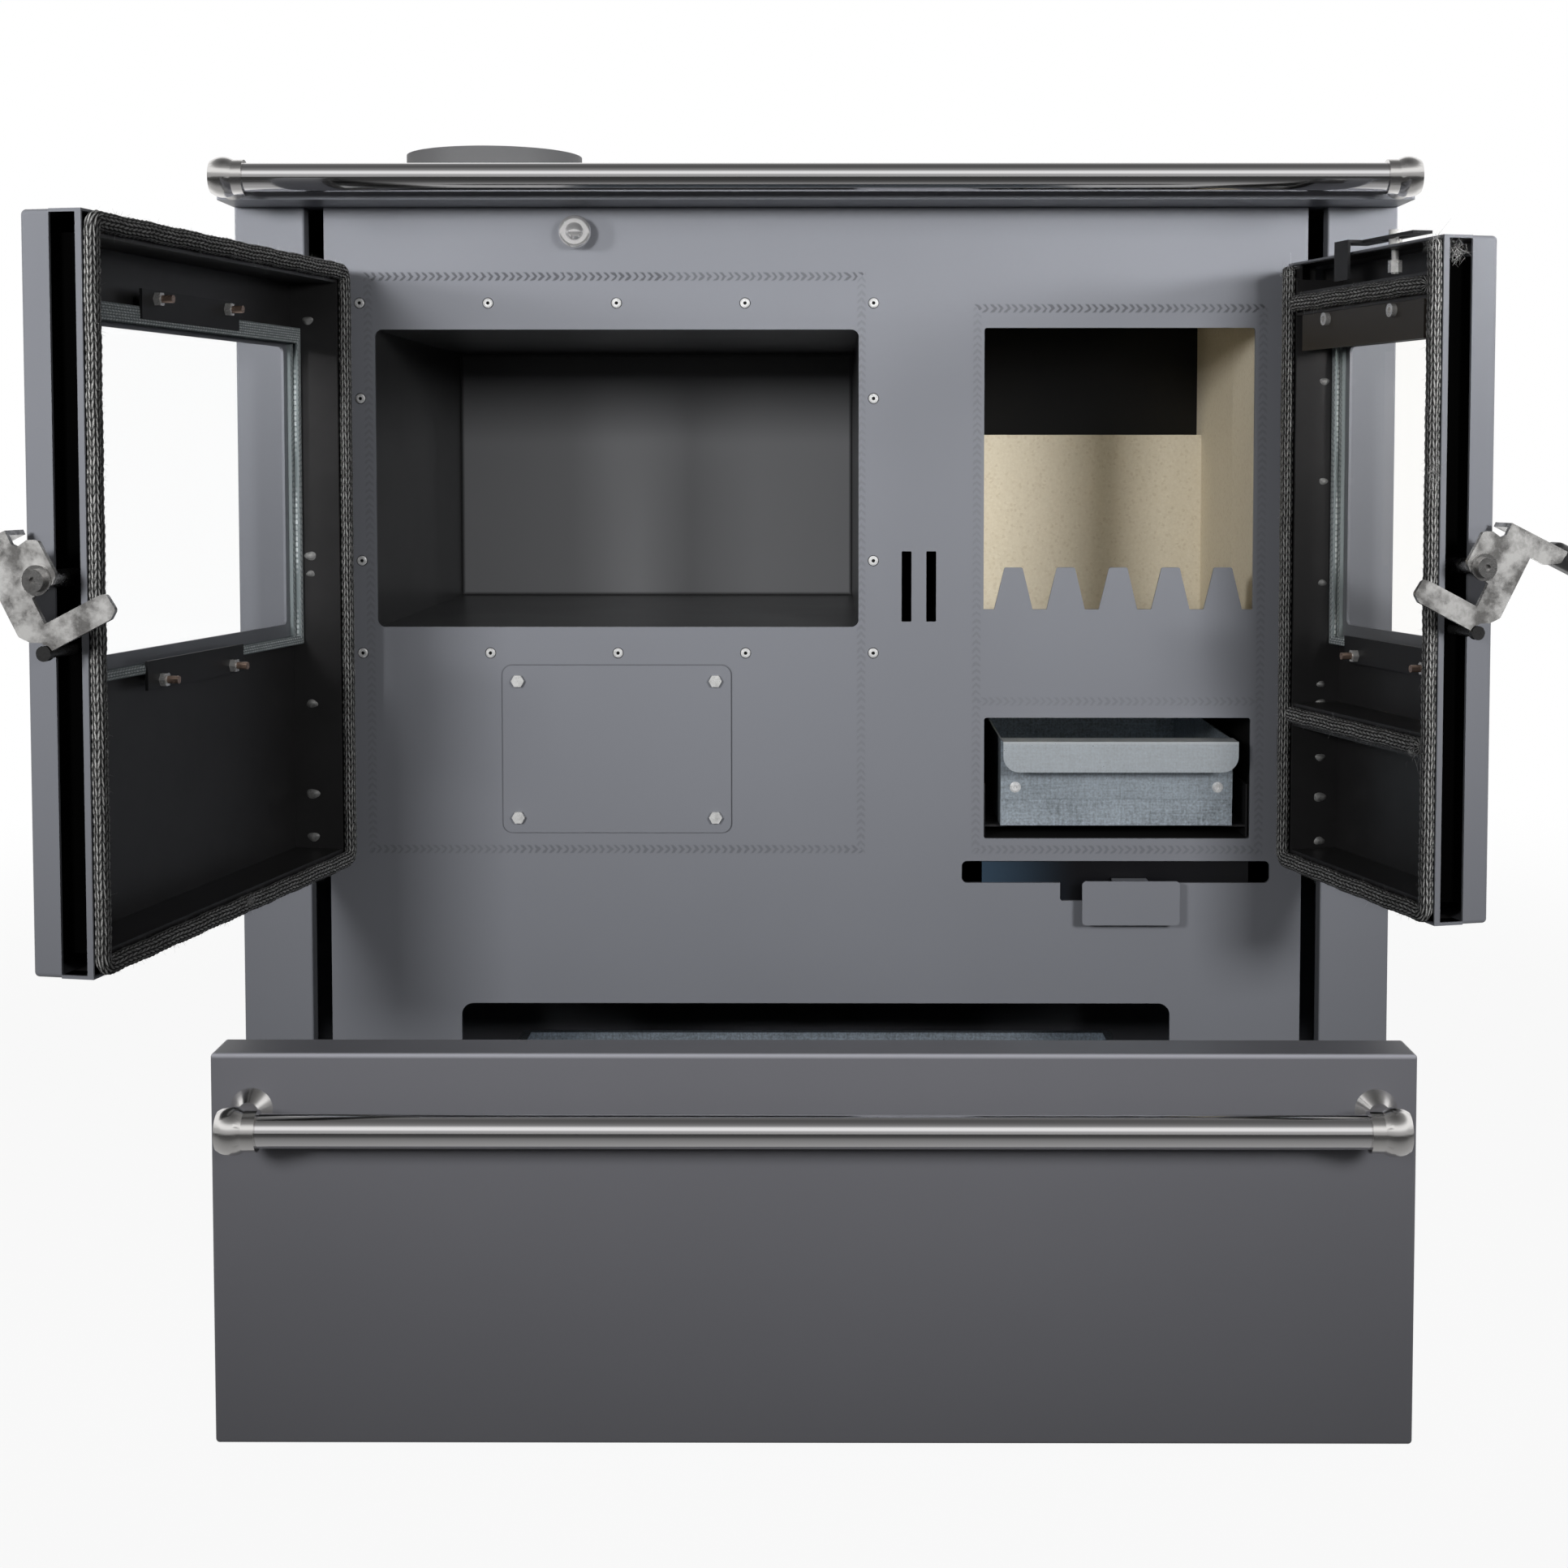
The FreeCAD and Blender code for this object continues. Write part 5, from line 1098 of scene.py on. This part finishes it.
ovenTuft = {"spot": (0.198, -0.0015, 0.3455), "way": (0, 0.3, 0.4), "spread": (0.003, 0.0008, 0.0012)}
fireTufts = {
    "fireRopeEndHinge": {
        "spot": (nearU, -0.004, 0.768), "way": (0.3, 0.2, 0.4), "spread": (0.004, 0.002, 0.003),
    },
    "fireRopeEndFree": {
        "spot": (fireFarU, -0.004, 0.769), "way": (-0.2, 0.2, 0.4), "spread": (0.003, 0.002, 0.003),
    },
    "fireCrossEnd": {
        "spot": (0.214, -0.003, 0.449), "way": (0.5, 0.3, 0.1), "spread": (0.004, 0.001, 0.003),
    },
    "fireRopeKnot": {
        "spot": (fireFarU + 0.0045, -0.004, 0.627), "way": (0.3, 0.1, 0), "spread": (0.001, 0.002, 0.004),
    },
    "fireChannelTuft": {
        "spot": (0.2315, -0.0195, 0.768), "way": (0.1, 0, -0.5), "spread": (0.001, 0.0035, 0.003),
    },
}
frayTuft("ovenRopeJoint", ovenDoor, ovenTuft, fraySetup["short"], fraySetup["ovenHairs"], random)
for tuftName, tuft in fireTufts.items():
    frayTuft(tuftName, fireDoor, tuft, fraySetup["long"], fraySetup["fireHairs"], random)
print("rope seals knitted")


# glass tape: a U folded round the pane's edge, its section carried round the window and mitred
tapeSetup = {
    "sideStart": 0.0055,
    "topStart": 0.0030,
    "bottomStart": 0.0090,
    "width": 0.0055,
    "topWidth": 0.0110,
    "lapShare": 0.82,
    "skinFace": -0.0444,
    "paneFront": -0.0414,
    "paneBack": -0.0374,
    "face": -0.0360,
    "swell": 0.0005,
    "crownPoints": 9,
    "step": 0.0015,
    "pitch": 0.0035,
}


def tapePiece(name, door):
    tape = tapeSetup
    u0 = doorBox["frameEdge"] + window["margin"]
    u1 = door["free"] - window["margin"]
    z0, z1 = window["bottom"], window["top"]
    line = walkLine([(u0, z0), (u1, z0), (u1, z1), (u0, z1)], 0.0, tape["step"], True)
    walked, along = line[0], line[2]
    middle = np.array(((u0 + u1) / 2, (z0 + z1) / 2))
    half = np.array(((u1 - u0) / 2, (z1 - z0) / 2))
    share = (walked - middle) / half
    lap, back, front = tape["lapShare"], tape["paneBack"], tape["paneFront"]
    across = np.linspace(1, 0, tape["crownPoints"])
    crown = np.stack((across, tape["face"] + tape["swell"] * np.sin(np.pi * across)), axis=-1)
    outer = [(0.0, tape["skinFace"]), (1.0, tape["skinFace"])]
    fold = [(0.0, back), (lap, back), (lap, front), (0.0, front)]
    section = np.concatenate((outer, crown, fold))
    reach = section[None, :, 0] * tape["width"]
    rise = (share[:, None, 1] + 1) / 2
    start = tape["bottomStart"] + (tape["topStart"] - tape["bottomStart"]) * rise
    wide = 1 + (tape["topWidth"] / tape["width"] - 1) * rise
    u = middle[0] + share[:, None, 0] * (half[0] + tape["sideStart"] + reach)
    z = middle[1] + share[:, None, 1] * (half[1] + start + reach * wide)
    d = np.broadcast_to(section[None, :, 1], u.shape)
    faces = gridFaces(len(walked), len(section), True)
    if door["side"] < 0:
        faces = faces[:, ::-1]
    piece = meshPiece(name, doorPoints(door, u, d, z), faces, tapeYarn, False)
    giveValue(piece, "along", np.broadcast_to(along[:, None] / tape["pitch"], u.shape))
    giveValue(piece, "around", np.broadcast_to(reach * wide / tape["pitch"], u.shape))
    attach(piece, door["body"])
    return piece


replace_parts(tapePiece("ovenGlassTape", ovenDoor), "oven_door_tape")
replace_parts(tapePiece("fireGlassTape", fireDoor), "fire_door_tape")
print("glass tapes folded")


# tack welds: low lumpy domes on the inner wall by the hinge, height falling with the square of the radius
weldSetup = {
    "radius": 0.0034, "sizes": (0.7, 1.25), "height": 0.0018, "wall": 0.0265, "depth": -0.0305,
    "rings": 9, "firstRing": 0.02, "sides": 20, "lump": 0.08, "lobes": 3, "lobeTurn": 5,
    "long": 1.25, "short": 0.85,
}
weldLevels = {
    "ovenDoorWelds": (0.7356, 0.5653, 0.5523, 0.4574, 0.3912, 0.3595),
    "fireDoorWelds": (0.6917, 0.6195, 0.5458, 0.4718, 0.4581, 0.4182, 0.3890, 0.3567),
}


def weldPiece(name, door, levels, random):
    weld = weldSetup
    count = len(levels)
    ring = np.linspace(weld["firstRing"], 1, weld["rings"])[None, :, None]
    angle = np.linspace(0, 2 * np.pi, weld["sides"], endpoint=False)[None, None, :]
    turn = weld["lobeTurn"] * np.arange(count)[:, None, None]
    lump = 1 + weld["lump"] * np.sin(weld["lobes"] * angle + turn) * ring
    reach = weld["radius"] * random.uniform(*weld["sizes"], (count, 1, 1)) * ring * lump
    d = weld["depth"] + weld["long"] * reach * np.cos(angle)
    z = np.asarray(levels)[:, None, None] + weld["short"] * reach * np.sin(angle)
    u = np.broadcast_to(weld["wall"] + weld["height"] * (1 - ring ** 2), d.shape)
    faces = manyFaces(count, weld["rings"], weld["sides"], True)
    piece = meshPiece(name, doorPoints(door, u, d, z), faces, weldSteel)
    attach(piece, door["body"])


weldPiece("ovenDoorWelds", ovenDoor, weldLevels["ovenDoorWelds"], random)
weldPiece("fireDoorWelds", fireDoor, weldLevels["fireDoorWelds"], random)
print("tack welds laid")
